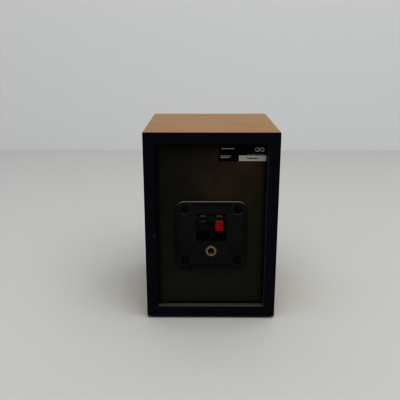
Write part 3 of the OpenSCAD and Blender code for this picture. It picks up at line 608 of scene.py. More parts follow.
def woven(name, base, light, pitch, depth, uv=None, roughness=0.85):
    """Plain weave: threads along two axes that pass over each other in turn, painted lighter where they are
    raised: painted highlight and shade.
    """
    f = Finish(name, base, roughness, uv, Specular_IOR_Level=0.3, Sheen_Weight=0.2, Sheen_Roughness=0.4)
    x, y, z = f.axes()
    if uv:
        z = y
    across = f.wave(x, math.pi / pitch)
    along = f.wave(z, math.pi / pitch)
    over = f.step(f.times(across, along), -0.35, 0.35)
    warp = f.math("ABSOLUTE", across)
    weft = f.math("ABSOLUTE", along)
    under = f.math("SUBTRACT", 1.0, over)
    height = f.math("ADD", f.times(over, warp), f.times(under, weft))
    fuzz = f.noise(pitch * 0.3, detail=3)
    # tone paints each thread lighter on its raised part and darker in its dips: painted highlight and
    # shade.
    tone = f.times(height, f.step(fuzz, 0.2, 0.8, 0.6, 1.0))
    f.colour(f.mix(tone, base, light))
    f.bump(height, depth)
    f.bump(fuzz, depth * 0.3)
    return f.material


def printed_film():
    f = Finish("label_film", (0.0045, 0.0045, 0.0050), 0.34, Specular_IOR_Level=0.15)
    f.roughness(f.noise(5, detail=4), 0.28, 0.42)
    f.bump(f.noise(1.8, detail=2), 0.012)
    return f.material


def label_ink():
    full, thinned = (0.55, 0.55, 0.54), (0.24, 0.24, 0.24)
    f = Finish("label_ink", full, 0.5)
    thin = f.step(f.noise(0.25, detail=2), 0.45, 0.7)
    f.colour(f.mix(thin, full, thinned))
    f.bump(thin, 0.004)
    return f.material


def sleeve():
    f = Finish("capacitor_sleeve", (0.03, 0.06, 0.22), 0.25, Coat_Weight=0.3)
    f.roughness(f.noise(3, detail=3), 0.2, 0.34)
    f.bump(f.noise(1.2, detail=2), 0.02)
    return f.material


def hot_glue():
    f = Finish("glue", (0.72, 0.66, 0.45), 0.35, Transmission_Weight=0.15)
    f.roughness(f.noise(1.5, detail=2), 0.25, 0.5)
    f.bump(f.noise(2.2, detail=3), 0.25)
    return f.material


def ferrite():
    f = Finish("ferrite", (0.045, 0.045, 0.05), 0.6)
    f.colour(f.mix(f.step(f.noise(0.4, detail=4), 0.45, 0.7), (0.04, 0.04, 0.044), (0.075, 0.073, 0.075)))
    f.bump(f.noise(0.5, detail=4, rough=0.65), 0.02)
    return f.material


# Rubbed places in the paint, as a point on the rear edges and a radius, in mm
WORN_SPOTS = [
    ((WIDTH / 2 - 8.4, REAR_Y, 83.0), 1.5),
    ((WIDTH / 2 - 7.6, REAR_Y, 82.2), 1.0),
    ((-23.0, REAR_Y, 8.0), 0.9),
    ((-20.8, REAR_Y, 7.4), 0.7),
]

FINISH = {
    "black_paint": painted_edge("black_paint", (0.0110, 0.0130, 0.0225), (0.050, 0.050, 0.051)),
    "baffle_paint": painted_edge("baffle_paint", (0.013, 0.013, 0.014), (0.03, 0.03, 0.03)),
    "wood_vinyl": wood_vinyl(),
    "panel_board": hardboard(),
    "batten_wood": pine(),
    "rubber": rubber(),
    "label_film": printed_film(),
    "sticker_paper": fibrous("sticker_paper", (0.42, 0.425, 0.38), (0.48, 0.48, 0.44), 0.12, 0.006, 0.7),
    "terminal_plastic": plate_plastic(),
    "lever_black": lever_plastic("lever_black", (0.0065, 0.0065, 0.0070)),
    "lever_red": lever_plastic("lever_red", (0.32, 0.0022, 0.0075)),
    "foam": fibrous("foam", (0.02, 0.02, 0.02), (0.05, 0.05, 0.05), 0.3, 0.08, 0.9),
    "screw_black": metal("screw_black", (0.032, 0.032, 0.035), 0.34, 0.006, (1, 1, 1)),
    "brass": brass_turned(),
    "contact_brass": metal("contact_brass", (0.42, 0.33, 0.17), 0.3),
    "plain_steel": metal("plain_steel", (0.38, 0.39, 0.41), 0.38),
    "ferrite": ferrite(),
    "trim_card": fibrous("trim_card", (0.012, 0.012, 0.012), (0.026, 0.026, 0.026), 0.4, 0.02, 0.75),
    "cone_paper": fibrous("cone_paper", (0.016, 0.016, 0.017), (0.045, 0.045, 0.047), 0.7, 0.03, 0.62),
    "spider_cloth": woven("spider_cloth", (0.34, 0.2, 0.05), (0.62, 0.42, 0.16), 0.5, 0.06),
    "former_foil": metal("former_foil", (0.78, 0.79, 0.80), 0.25),
    "copper": windings("copper"),
    "tag_board": fibrous("tag_board", (0.24, 0.12, 0.05), (0.34, 0.19, 0.09), 0.3, 0.01, 0.5),
    "faceplate_plastic": moulded("faceplate_plastic", (0.011, 0.011, 0.012), 0.42),
    "dome_silk": woven("dome_silk", (0.012, 0.012, 0.013), (0.03, 0.03, 0.032), 0.16, 0.008, roughness=0.5),
    "capacitor_sleeve": sleeve(),
    "glue": hot_glue(),
    "wire_red": moulded("wire_red", (0.50, 0.01, 0.01), 0.32, 0.2, 0.004),
    "wire_black": moulded("wire_black", (0.014, 0.014, 0.014), 0.32, 0.2, 0.004),
    "wadding": fibrous("wadding", (0.66, 0.66, 0.64), (0.86, 0.86, 0.84), 1.2, 0.5, 0.95, 0.4),
    "grille_black": moulded("grille_black", (0.012, 0.012, 0.013), 0.5),
    "grille_cloth": woven(
        "grille_cloth", (0.010, 0.010, 0.011), (0.060, 0.060, 0.062), 0.62, 0.12, uv="cloth_mm"
    ),
}
INK = label_ink()


# ---------- Cabinet ----------

EDGE_R = 0.8
LIP_ANGLE = 45


def cabinet_board(name, node, side_turn, length, half_across):
    """One mitred board with rounded long edges. Its profile is (depth below the outer face, Y)."""
    profile = fillet([
        (0, FRONT_Y, EDGE_R), (BOARD_T, FRONT_Y, 0.4), (BOARD_T, REAR_Y, 0.5), (0, REAR_Y, EDGE_R)
    ])
    cos, sin = round(math.cos(side_turn)), round(math.sin(side_turn))
    rings = []
    for end in (-1, 1):
        ring = []
        for below, y in profile:
            along, out = end * (length / 2 - below), half_across - below
            ring.append((along * cos + out * sin, y, MID_Z - along * sin + out * cos))
        rings.append(ring)
    piece(name, Shape().loft(rings, closed=False, caps=True).mesh(name), "black_paint", [node])


def vinyl_wrap():
    """The printed film: its ends curl over the board edges, and it meets in a seam underneath."""
    turn = [math.radians(LIP_ANGLE * k / 4) for k in range(5)]
    outer_r = EDGE_R + WRAP_T

    def curl(radius, y_end, way):
        """One face of a lip, as (depth below the outer face, Y). way is the direction it curls along Y."""
        centre_y = y_end - way * EDGE_R
        return [(outer_r - radius * math.cos(a), centre_y + way * radius * math.sin(a)) for a in turn]

    profile = (
        curl(outer_r, REAR_Y, 1) + curl(EDGE_R, REAR_Y, 1)[::-1]
        + curl(EDGE_R, FRONT_Y, -1) + curl(outer_r, FRONT_Y, -1)[::-1]
    )
    corner_r, sharpest_r = 0.6, 0.05
    half_seam = 0.12
    outer = rounded_loop(WIDTH, HEIGHT, corner_r, 5)
    start = max(range(len(outer)), key=lambda i: (-round(outer[i][1], 6), outer[i][0]))
    order = [(start + k) % len(outer) for k in range(len(outer))]
    rings = []
    for inset, y in profile:
        w, h = WIDTH - 2 * inset, HEIGHT - 2 * inset
        loop = rounded_loop(w, h, max(corner_r - inset, sharpest_r), 5)
        ring = [(half_seam, y, MID_Z - h / 2)] + [(loop[i][0], y, MID_Z + loop[i][1]) for i in order]
        rings.append(ring + [(-half_seam, y, MID_Z - h / 2)])
    path = [0.0]
    for a, b in zip(rings[0], rings[0][1:]):
        path.append(path[-1] + math.dist(a, b))
    shape = Shape().loft(rings, ring_closed=False)
    shape.add([r[0] for r in rings], [list(range(len(rings)))])
    shape.add([r[-1] for r in rings], [list(range(len(rings) - 1, -1, -1))])
    along = path * len(rings) + [path[0]] * len(rings) + [path[-1]] * len(rings)
    mesh = shape.mesh("vinyl_wrap", "wrap_mm", [(u, point[1]) for u, point in zip(along, shape.points)])
    painted = 0.35
    for face in mesh.polygons:
        face.material_index = int(abs(face.normal.y) > painted)
    piece("vinyl_wrap", mesh, "wood_vinyl", ["veneer_wrap"], smooth=50,
          finishes=[FINISH["wood_vinyl"], FINISH["black_paint"]])


def cabinet():
    outer_w, outer_h = WIDTH - 2 * WRAP_T, HEIGHT - 2 * WRAP_T
    cabinet_board("board_top", "top_board", 0, outer_w, outer_h / 2)
    cabinet_board("board_bottom", "bottom_board", math.pi, outer_w, outer_h / 2)
    cabinet_board("board_right", "right_side_board", math.pi / 2, outer_h, outer_w / 2)
    cabinet_board("board_left", "left_side_board", -math.pi / 2, outer_h, outer_w / 2)
    vinyl_wrap()


def feet():
    """Four turned pads with a chamfered rim and a shallow dimple underneath."""
    low, high = span("rubber_feet")
    r, chamfer, chamfer_h, dimple_h = 5.0, 1.2, 0.6, 0.25
    profile = fillet([(0, 0), (r - chamfer, 0, 0.3), (r, chamfer_h, 0.4), (r, high.z), (0, high.z)], 3)
    profile[0] = (0, dimple_h)
    shape = Shape()
    for x, y in inner_corners(low, high, r, (0, 1)):
        shape.lathe([(max(p, NO_RADIUS), s) for p, s in profile], x=x, y=y, steps=40, upright=True)
    piece("rubber_pads", shape.mesh("rubber_pads"), "rubber", ["rubber_feet"])


def centred(outline, low, high):
    """An outline in X and Z, moved to the middle of a box."""
    x, z = (low.x + high.x) / 2, (low.z + high.z) / 2
    return [(x + px, z + pz) for px, pz in outline]


def film(node, name, slot, corner_r, steps):
    """A thin sheet with rounded corners, as large as its node's box."""
    low, high = span(node)
    outline = centred(rounded_loop(high.x - low.x, high.z - low.z, corner_r, steps), low, high)
    piece(name, Shape().prism(outline, [], low.y, high.y).mesh(name), slot, [node])


def label():
    """Printed film in the corner of the panel: plain bars and rings stand for its print."""
    film("rating_label", "label_film", "label_film", 0.8, 5)
    low, high = span("rating_label")
    ink_t = 0.02
    shape = Shape()

    def bar(right, up, length, tall):
        """A printed bar, placed by its distances from the label's outer side and from its lower edge."""
        outline = rounded_loop(length, tall, tall * 0.3, 3)
        centre_x, centre_z = low.x + right + length / 2, low.z + up + tall / 2
        shape.prism([(centre_x + px, centre_z + pz) for px, pz in outline], [], high.y, high.y + ink_t)

    heading_h, line_h, fine_h = 0.9, 0.6, 0.25
    bar(29.0, 11.0, 11.5, heading_h)
    lines_start, line_up, line_pitch = 41.2, 4.6, 1.5
    for k, length in enumerate((9.4, 8.0)):
        bar(lines_start - length, line_up - line_pitch * k, length, line_h)
    for right, length in ((3.0, 4.6), (8.4, 5.4), (14.8, 3.0)):
        bar(right, 6.4, length, fine_h)
    ring_x, ring_z, ring_r, ring_pitch, stroke = low.x + 4.6, low.z + 10.6, 2.0, 4.3, 0.8
    for x in (ring_x, ring_x + ring_pitch):
        hole = circle(x, ring_z, ring_r - stroke, 40)
        shape.prism(circle(x, ring_z, ring_r, 40), [hole], high.y, high.y + ink_t)
    piece("label_print", shape.mesh("label_print"), "label_film", [], finishes=[INK])

    film("serial_sticker", "label_strip", "sticker_paper", 0.4, 4)
    low, high = span("serial_sticker")
    mark_l, mark_h = 0.42 * (high.x - low.x), 0.14 * (high.z - low.z)
    mark = centred(rounded_loop(mark_l, mark_h, 0.2, 3), low, high)
    mesh = Shape().prism(mark, [], high.y, high.y + ink_t).mesh("label_strip_mark")
    piece("label_strip_mark", mesh, "label_film", [])


# ---------- Screws ----------

def cross_head(shape, x, z, seat_y, way, head_r, head_h, shank_r, shank_l):
    """A pan-head screw with a tapered cross recess. way is the direction of the head along Y."""
    arm_w, arm_l, recess_h = head_r * 0.13, head_r * 0.62, head_h * 0.72
    rim_h, crown_start, edge_in = head_h * 0.2, 0.30, 0.15
    steps, rows = 72, 14
    shank = ((shank_r * 0.25, shank_l - 0.5), (shank_r, shank_l - 2), (shank_r, 0), (head_r - edge_in, 0))
    rings = []
    for cos, sin in turns(steps):
        ring = [(x + NO_RADIUS * cos, seat_y - way * shank_l, z + NO_RADIUS * sin)]
        ring += [(x + r * cos, seat_y - way * s, z + r * sin) for r, s in shank]
        for i in range(rows + 1):
            out = 1 - i / rows
            r = head_r * out + NO_RADIUS
            crown = math.sqrt(max(0.0, 1 - (out ** 3.2) ** 2))
            top = head_h * (crown_start + (1 - crown_start) * crown) if i else rim_h
            near, far = sorted((abs(r * cos), abs(r * sin)))
            across = min(1, max(0, (arm_w * 1.5 - near) / arm_w))
            inside = across * min(1, max(0, (arm_l - far) / (0.35 * arm_l)))
            cut = recess_h * inside * inside * (3 - 2 * inside)
            ring.append((x + r * cos, seat_y + way * (top - cut), z + r * sin))
        rings.append(ring)
    shape.loft(rings, ring_closed=False)


def screw_set(name, node, head_r, head_h, shank_r, seat_y, way):
    """Four cross-head screws at the corners of their node's box, reaching to its far side."""
    low, high = span(node)
    shank_l = seat_y - low.y if way > 0 else high.y - seat_y
    shape = Shape()
    for x, z in inner_corners(low, high, head_r):
        cross_head(shape, x, z, seat_y, way, head_r, head_h, shank_r, shank_l)
    piece(name, shape.mesh(name), "screw_black", [node])


def screws():
    """The screws of the terminal plate and of the two drive units."""
    seat_depth = 1.4
    screw_set("plate_screws", "terminal_plate_screws", 3.4, 1.5, 1.5, PLATE_RIM_Y - seat_depth, 1)
    woofer_seat, tweeter_seat = FRONT_Y - 1.0, FRONT_Y - 1.5
    screw_set("woofer_fixing_screws", "woofer_screws", 2.4, 1.2, 1.25, woofer_seat, -1)
    screw_set("tweeter_fixing_screws", "tweeter_screws", 2.2, 1.1, 1.25, tweeter_seat, -1)


# ---------- Terminals ----------

def terminal_block():
    """The plate, with a rounded bead as its rim, and the block behind its window."""
    low, high = span("terminal_plate")
    middle, half = (low + high) / 2, (high - low) / 2
    corner_r, bead_r, arris_r = 8, 0.8, 0.25
    close = 0.1

    def on_outer_rim(edge):
        """Whether an edge runs round the front of the plate's rim, on its outer side."""
        for v in edge.verts:
            x, z = abs(v.co.x / MM - middle.x), abs(v.co.z / MM - middle.z)
            past_x, past_z = x - (half.x - corner_r), z - (half.z - corner_r)
            on_side = x > half.x - close or z > half.z - close
            on_corner = past_x > 0 and past_z > 0 and math.hypot(past_x, past_z) > corner_r - close
            if high.y - v.co.y / MM > close / 10 or not (on_side or on_corner):
                return False
        return True

    mesh = cad_copy("terminal_plate")
    clean(mesh, weld=0.002, bevel=bead_r, steps=4, where=on_outer_rim)
    clean(mesh, weld=0.002, bevel=arris_r, steps=2, sharp=40)
    piece("terminal_face", mesh, "terminal_plastic", ["terminal_plate"])
    rounded_copy("terminal_housing", "terminal_well", "terminal_plastic", 0.16)


def push_lever(node, name, slot):
    """A rocking lever: a barrel on the hinge rod, a short neck and a thumb pad with a shallow dish."""
    low, high = span(node)
    barrel_r, bore_r = high.z - HINGE_Z, 0.85
    pad_out, pad_bottom = high.y - HINGE_Y, low.z - HINGE_Z
    pad_top, pad_in, neck_out = -3.3, 2.1, 2.05
    tip, shoulder = pad_bottom + 0.8, pad_top - 1.9
    dish_depth, dish_margin_x, dish_margin_z, end_r = 0.4, 0.9, 0.7, 0.35
    rows, slices = 14, 14
    face = [(pad_out, tip + (shoulder - tip) * k / rows) for k in range(rows + 1)]
    barrel_turn = [math.radians(a) for a in range(-30, 301, 10)]
    barrel = [(barrel_r * math.cos(a), barrel_r * math.sin(a)) for a in barrel_turn]
    under = fillet([
        (1.1, -1.9), (pad_in, pad_top, 0.4), (pad_in, pad_bottom, 0.4), (pad_out, pad_bottom, 0.5),
        (pad_out, pad_top),
    ], 4)[1:-1]
    neck = fillet([
        (pad_out, shoulder - 1), (pad_out, shoulder, 0.8), (pad_out - 0.55, pad_top - 0.4, 0.4),
        (neck_out, -2.3, 0.4), (neck_out - 0.2, -1.3),
    ], 3)[1:]
    outline = barrel + under + face + neck
    bore = circle(0, 0, bore_r, 24)
    loops = [outline, bore]
    flat = outline + bore
    n = len(flat)
    across = [low.x + (high.x - low.x) * k / slices for k in range(slices + 1)]
    middle, mid_pad = (low.x + high.x) / 2, (pad_top + pad_bottom) / 2
    reach_x, reach_z = (high.x - low.x) / 2 - dish_margin_x, (pad_top - pad_bottom) / 2 - dish_margin_z
    points, faces = [], []
    for x in across:
        for y, z in flat:
            dish = 0.0
            if y > pad_out - 0.01 and z < pad_top:
                u, v = min(1, abs(x - middle) / reach_x), min(1, abs(z - mid_pad) / reach_z)
                dish = dish_depth * (1 - u ** 4) * (1 - v ** 4)
            points.append((x, HINGE_Y + y - dish, HINGE_Z + z))
    for i in range(slices):
        start = 0
        for loop in loops:
            for k in range(len(loop)):
                m = (k + 1) % len(loop)
                a, b = i * n + start, (i + 1) * n + start
                faces.append([a + k, a + m, b + m, b + k])
            start += len(loop)
    for tri in tessellate_polygon([[Vector((*p, 0)) for p in loop] for loop in loops]):
        faces.append(list(tri))
        faces.append([slices * n + i for i in reversed(tri)])
    mesh = Shape().add(points, faces).mesh(name)
    ends = (low.x * MM, high.x * MM)

    def on_end(edge):
        return any(all(abs(v.co.x - end) < 1e-6 for v in edge.verts) for end in ends)

    round_ends(mesh, on_end, end_r)
    piece(name, mesh, slot, [node], node)


def round_ends(mesh, chosen, size):
    """Rounds the sharp edges that chosen picks, without dissolving any flat face."""
    shape = bmesh.new()
    shape.from_mesh(mesh)
    edges = [e for e in shape.edges if len(e.link_faces) == 2 and e.calc_face_angle(0) > 0.6 and chosen(e)]
    bmesh.ops.bevel(
        shape, geom=edges, offset=size * MM, offset_type="OFFSET", segments=3, profile=0.5,
        affect="EDGES", clamp_overlap=True, material=-1,
    )
    bmesh.ops.recalc_face_normals(shape, faces=shape.faces)
    shape.to_mesh(mesh)
    shape.free()


def contact_leaf(node, name):
    """A folded brass leaf, the CAD node's shape with rounded edges, fixed where it is."""
    made = rounded_copy(node, name, "brass", 0.06, body=None, finishes=[FINISH["contact_brass"]])
    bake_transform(made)


def threaded_insert():
    """Brass bush with a rolled flange edge and a real helical thread."""
    low, high = span("wall_bracket_insert")
    z = (low.z + high.z) / 2
    flange_r = (high.x - low.x) / 2
    barrel_r, bore_r, relief_r, flange_t = 3.6, 2.1, 2.4, 0.8
    pitch, thread_depth, mouth = 0.8, 0.42, 0.7
    flange_y = high.y - flange_t
    outer = fillet([
        (bore_r + mouth, high.y), (flange_r, high.y, 0.3), (flange_r, flange_y, 0.1), (barrel_r, flange_y),
        (barrel_r, low.y, 0.3), (relief_r, low.y),
    ], 4)[1:-1]
    steps, rows = 64, 150
    fade_in, fade_out = 6, 8
    first, last = low.y, high.y - mouth
    rings = []
    for k, (cos, sin) in enumerate(turns(steps)):
        ring = [(bore_r + mouth, high.y)] + outer + [(relief_r, low.y)]
        for i in range(rows + 1):
            y = first + (last - first) * i / rows
            phase = (y / pitch - k / steps) % 1
            groove = min(1, 1.25 * (1 - abs(2 * phase - 1)))
            fade = min(1, i / fade_in, (rows - i) / fade_out)
            ring.append((bore_r + thread_depth * groove * fade, y))
        ring.append((bore_r + 0.15, last + 0.12))
        rings.append([(r * cos, y, z + r * sin) for r, y in ring])
    shape = Shape().loft(rings)
    piece("threaded_bush", shape.mesh("threaded_bush"), "brass", ["wall_bracket_insert"], smooth=50)


# ---------- Drive units ----------

def ring_piece(name, node, slot, profile, centre_z, body="cabinet", steps=128):
    """A turned piece on the baffle; its profile is (radius, depth behind the baffle's front face)."""
    shape = Shape().lathe([(max(r, NO_RADIUS), FRONT_Y + d) for r, d in profile], z=centre_z, steps=steps)
    return piece(name, shape.mesh(name), slot, [node], body)


def follow_cone(made):
    """Bakes a ring's placement into its mesh; the ring stays fixed and rides on no body."""
    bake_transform(made)


def sheet_profile(line, thickness):
    """A closed profile of a thin ring, from the points of its front line."""
    return line + [(r, d + thickness) for r, d in reversed(line)]


def half_roll(middle_r, roll_r, base_d, height, steps):
    """The front line of a half-round roll, from its inner foot to its outer one."""
    arc = [math.pi * k / steps for k in range(steps + 1)]
    return [(middle_r - roll_r * math.cos(a), base_d - height * math.sin(a)) for a in arc]


def woofer():
    """Basket, card trim, rubber roll, ribbed paper cone, dust cap and cloth spider."""
    moving = "woofer_cone_assembly"
    rounded_copy("woofer_basket", "woofer_frame", "plain_steel", 0.12)

    trim_in, trim_out, trim_back, trim_front, trim_r = 33.5, 37, -1.4, -3.2, 0.7
    trim = fillet([
        (trim_in, trim_back), (trim_out, trim_back), (trim_out, trim_front, trim_r),
        (35.6, trim_front), (35.2, trim_front + 0.3), (34.9, trim_front), (trim_in, trim_front, trim_r),
    ])
    ring_piece("woofer_trim", "woofer_gasket", "trim_card", trim, WOOFER_Z)

    lip_d, roll_t = -1.4, 0.35
    roll = [(25.7, lip_d), (26.6, lip_d)]
    roll += half_roll(30, 3, lip_d + 0.1, 2.7, 20)
    roll = sheet_profile(roll + [(33.4, lip_d), (36.9, lip_d)], roll_t)
    made = ring_piece("woofer_roll", "woofer_surround", "rubber", roll, WOOFER_Z, None)
    follow_cone(made)

    neck_r, rim_r, neck_d, rim_d, cone_t = 10.35, 25.6, 13.0, -0.98, 0.7
    rib_h, rib_w, belly = 0.16, 0.018, 0.35
    steps = 40
    line = []
    for k in range(steps + 1):
        t = k / steps
        ribs = rib_h * sum(math.exp(-((t - place) / rib_w) ** 2) for place in (0.35, 0.55, 0.75))
        d = neck_d + (rim_d - neck_d) * t - ribs + belly * math.sin(math.pi * t)
        line.append((neck_r + (rim_r - neck_r) * t, d))
    line.append((rim_r + 1.5, rim_d))
    cone = sheet_profile(line, cone_t)
    ring_piece("woofer_paper_cone", "woofer_cone", "cone_paper", cone, WOOFER_Z, moving)

    cap = sheet_profile(dome_line(14, 11.6, 11.8, 16), 0.35)
    ring_piece("woofer_cap", "woofer_dust_cap", "cone_paper", cap, WOOFER_Z, moving)

    inner, outer, seat_r, spider_d, wave_h, waves = 10.32, 21.0, 25.7, 16, 0.65, 3
    steps = 72
    cloth = []
    for k in range(steps + 1):
        t = k / steps
        cloth.append((inner + (outer - inner) * t, spider_d + wave_h * math.sin(2 * math.pi * waves * t)))
    cloth = sheet_profile(cloth + [(seat_r, spider_d)], 0.35)
    made = ring_piece("woofer_spider_cloth", "woofer_spider", "spider_cloth", cloth, WOOFER_Z, None, 96)
    follow_cone(made)


def dome_line(sphere_r, rim_r, rim_depth, count):
    """The front line of a dome from its middle to its rim."""
    rise = math.sqrt(sphere_r ** 2 - rim_r ** 2)
    reach = math.asin(rim_r / sphere_r)
    return [
        (sphere_r * math.sin(reach * k / count), rim_depth + rise - sphere_r * math.cos(reach * k / count))
        for k in range(count + 1)
    ]


def tweeter():
    """Faceplate, silk dome and the small roll round it."""
    moving = "tweeter_diaphragm"
    rounded_copy("tweeter_faceplate", "tweeter_face", "faceplate_plastic", 0.3, steps=3)
    seat_d = 1.6
    cap = sheet_profile(dome_line(12, 9.5, seat_d, 18), 0.22)
    ring_piece("tweeter_silk_dome", "tweeter_dome", "dome_silk", cap, TWEETER_Z, moving, 96)
    roll = [(9.6, seat_d), (9.72, seat_d)]
    roll += half_roll(10.6, 0.86, seat_d, 0.86, 12)
    roll = sheet_profile(roll + [(11.5, seat_d), (12.9, seat_d)], 0.18)
    made = ring_piece("tweeter_roll", "tweeter_surround", "rubber", roll, TWEETER_Z, None, 96)
    follow_cone(made)


def tube(shape, route, radius):
    """A round wire along given points, smoothed by a Catmull-Rom line."""
    sides, steps = 8, 6
    points = [Vector(p) for p in route]
    path = []
    for i in range(len(points) - 1):
        a, b = points[max(i - 1, 0)], points[i]
        c, d = points[i + 1], points[min(i + 2, len(points) - 1)]
        for k in range(steps):
            t = k / steps
            path.append(0.5 * (2 * b + (c - a) * t + (2 * a - 5 * b + 4 * c - d) * t * t
                               + (3 * b - a - 3 * c + d) * t ** 3))
    path.append(points[-1])
    rings = []
    for i, p in enumerate(path):
        ahead = (path[min(i + 1, len(path) - 1)] - path[max(i - 1, 0)]).normalized()
        side = ahead.cross(Vector((0, 0, 1))).normalized()
        up = side.cross(ahead)
        rings.append([tuple(p + u * side + v * up) for u, v in circle(0, 0, radius, sides)])
    shape.loft(rings, closed=False, caps=True)


def tinsel_leads():
    """Flexible leads from the cone to the tags, fixed where they lie."""
    route = [
        (1.6, -50.2, 77), (2.2, -47, 84), (3, -45, 90.5), (3.2, -41, 95.6), (3.2, -37, 95.6),
        (3.2, -34.5, 91.8),
    ]
    shape = Shape()
    for side in (-1, 1):
        tube(shape, [(side * x, y, z) for x, y, z in route], 0.35)
    made = piece("woofer_leads", shape.mesh("woofer_leads"), "copper", ["woofer_tinsel_leads"], None)
    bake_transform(made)


# ---------- Grille ----------

def grille():
    """Moulded frame with a cloth stretched over it, push pegs and their sockets."""
    low, high = span("grille_cloth")
    cloth_t = high.y - low.y
    w, h = high.x - low.x, high.z - low.z
    centre_z = (low.z + high.z) / 2
    bar, gusset, gap = 11.0, 24.0, 0.6
    back_y = FRONT_Y - gap
    outer = [(x, centre_z + z) for x, z in rounded_loop(w - 2 * cloth_t, h - 2 * cloth_t, 1.6, 5)]
    a, b = w / 2 - bar, h / 2 - gusset
    c, d = w / 2 - gusset, h / 2 - bar
    bay = fillet([
        (a, -b, 1), (a, b, 1), (c, b, 2), (c, d, 1), (-c, d, 1), (-c, b, 2), (-a, b, 1), (-a, -b, 1),
        (-c, -b, 2), (-c, -d, 1), (c, -d, 1), (c, -b, 2),
    ], 4)
    bay = [(x, centre_z + z) for x, z in bay]
    mesh = Shape().prism(outer, [bay], span("grille_frame")[0].y + 0.02, back_y).mesh("grille_moulding")
    clean(mesh, bevel=0.5, steps=3, sharp=50)
    piece("grille_moulding", mesh, "grille_black", ["grille_frame"], "grille")
    stretched_cloth(w, h, centre_z, low.y, back_y, cloth_t)
    pegs_and_sockets(back_y)


def pegs_and_sockets(back_y):
    """Ribbed pegs behind the grille's corners, and the rubber cups in the baffle that hold them."""
    peg_low, peg_high = span("grille_pegs")
    peg_r, groove, foot = 2.92, 0.35, 0.9
    stem_r, foot_y = peg_r - groove, back_y - 0.5
    peg_end = peg_high.y
    stem = [(NO_RADIUS, foot_y), (peg_r + foot, foot_y), (peg_r + foot, FRONT_Y - 0.05), (stem_r, FRONT_Y)]
    for rib in (2.2, 4.0):
        y = FRONT_Y + rib
        stem += [(stem_r, y - 0.5), (peg_r, y), (peg_r, y + 0.4), (stem_r, y + 0.9)]
    stem += [(stem_r, peg_end - 1.2), (peg_r - 0.8, peg_end - 0.3)]
    stem += [(peg_r - 1.4, peg_end), (NO_RADIUS, peg_end)]
    bore_r, cup_r, flange_r, bore_depth, cup_depth, flange_t = 3.0, 4.9, 6.0, 8.5, 10, 1
    cup = fillet([
        (bore_r, FRONT_Y, 0.25), (bore_r, FRONT_Y + bore_depth), (NO_RADIUS, FRONT_Y + bore_depth),
        (NO_RADIUS, FRONT_Y + cup_depth), (cup_r, FRONT_Y + cup_depth), (cup_r, FRONT_Y + flange_t),
        (flange_r, FRONT_Y + flange_t, 0.2), (flange_r, FRONT_Y, 0.3),
    ], 3)
    pegs, sockets = Shape(), Shape()
    for x, z in inner_corners(peg_low, peg_high, peg_r):
        pegs.lathe(stem, x=x, z=z, steps=40, closed=False)
        sockets.lathe(cup, x=x, z=z, steps=48)
    piece("grille_push_pegs", pegs.mesh("grille_push_pegs"), "grille_black", ["grille_pegs"], "grille")
    piece("peg_sockets", sockets.mesh("peg_sockets"), "rubber", ["grille_sockets"])


def stretched_cloth(w, h, centre_z, front_y, back_y, cloth_t):
    """Acoustic cloth: flat over the bay, round the frame's edges and glued down behind it."""
    edge_r, back_r, flap, corner_r = 1.1, 0.6, 8.0, 2.6
    bar, sag_h, pleat_h, narrowest = 11, 0.22, 0.16, 0.02
    flap_y = back_y + cloth_t - 0.05
    front_turn = [math.pi / 2 * k / 6 for k in range(7)]
    back_turn = [math.pi / 2 * k / 5 for k in range(6)]
    side_l = flap_y - back_r - front_y - edge_r
    side = [(edge_r * (1 - math.sin(a)), front_y + edge_r * (1 - math.cos(a))) for a in front_turn]
    side += [(0, front_y + edge_r + side_l * k / 4) for k in range(1, 4)]
    side += [(back_r * (1 - math.cos(a)), flap_y - back_r * (1 - math.sin(a))) for a in back_turn]
    side += [(back_r + (flap - back_r) * k / 3, flap_y) for k in range(1, 4)]
    flat_rows = 26
    first_pleated = flat_rows + 9
    rows = [(w / 2 * (1 - (k / flat_rows) ** 0.8) + edge_r, front_y) for k in range(flat_rows)] + side
    rings, flat = [], []
    run = 0.0
    for row, (inset, y) in enumerate(rows):
        on_front = row < flat_rows
        if on_front:
            inner_h = (h - 2 * edge_r) * (1 - (inset - edge_r) / (w / 2))
        else:
            inner_h = h - 2 * inset
            run += math.dist(rows[row - 1], (inset, y))
        inner_w = max(w - 2 * inset, narrowest)
        inner_h = max(inner_h, narrowest)
        ring = []
        for px, pz in rounded_loop(inner_w, inner_h, min(corner_r, inner_w * 0.4), 8, (24, 36)):
            sag = pleat = 0.0
            if on_front:
                u, v = min(1, abs(px) / (w / 2 - bar)), min(1, abs(pz) / (h / 2 - bar))
                sag = sag_h * (1 - u ** 3) * (1 - v ** 3)
            if row >= first_pleated:
                in_x, in_z = w / 2 - abs(px), h / 2 - abs(pz)
                fold = 1 + math.sin((in_x - in_z) * 2.6)
                pleat = pleat_h * math.exp(-((in_x + in_z - 5) / 4.5) ** 2) * fold
            ring.append((px * (1 - pleat / w), y + sag, centre_z + pz * (1 - pleat / h)))
            on_side = abs(px) / inner_w >= abs(pz) / inner_h
            flat.append((px + math.copysign(run, px), pz) if on_side else (px, pz + math.copysign(run, pz)))
        rings.append(ring)
    shape = Shape().loft(rings, closed=False)
    n = len(rings[0])
    centre_index = len(shape.points)
    shape.points.append((0, front_y + sag_h, centre_z))
    shape.faces += [[centre_index, k, (k + 1) % n] for k in range(n)]
    mesh = shape.mesh("grille_fabric", "cloth_mm", flat + [(0, 0)])
    made = piece("grille_fabric", mesh, "grille_cloth", ["grille_cloth"], "grille", smooth=60)
    thick = made.modifiers.new("thickness", "SOLIDIFY")
    thick.thickness = (cloth_t - 0.1) * MM
    thick.offset = -1


# ---------- Inside ----------

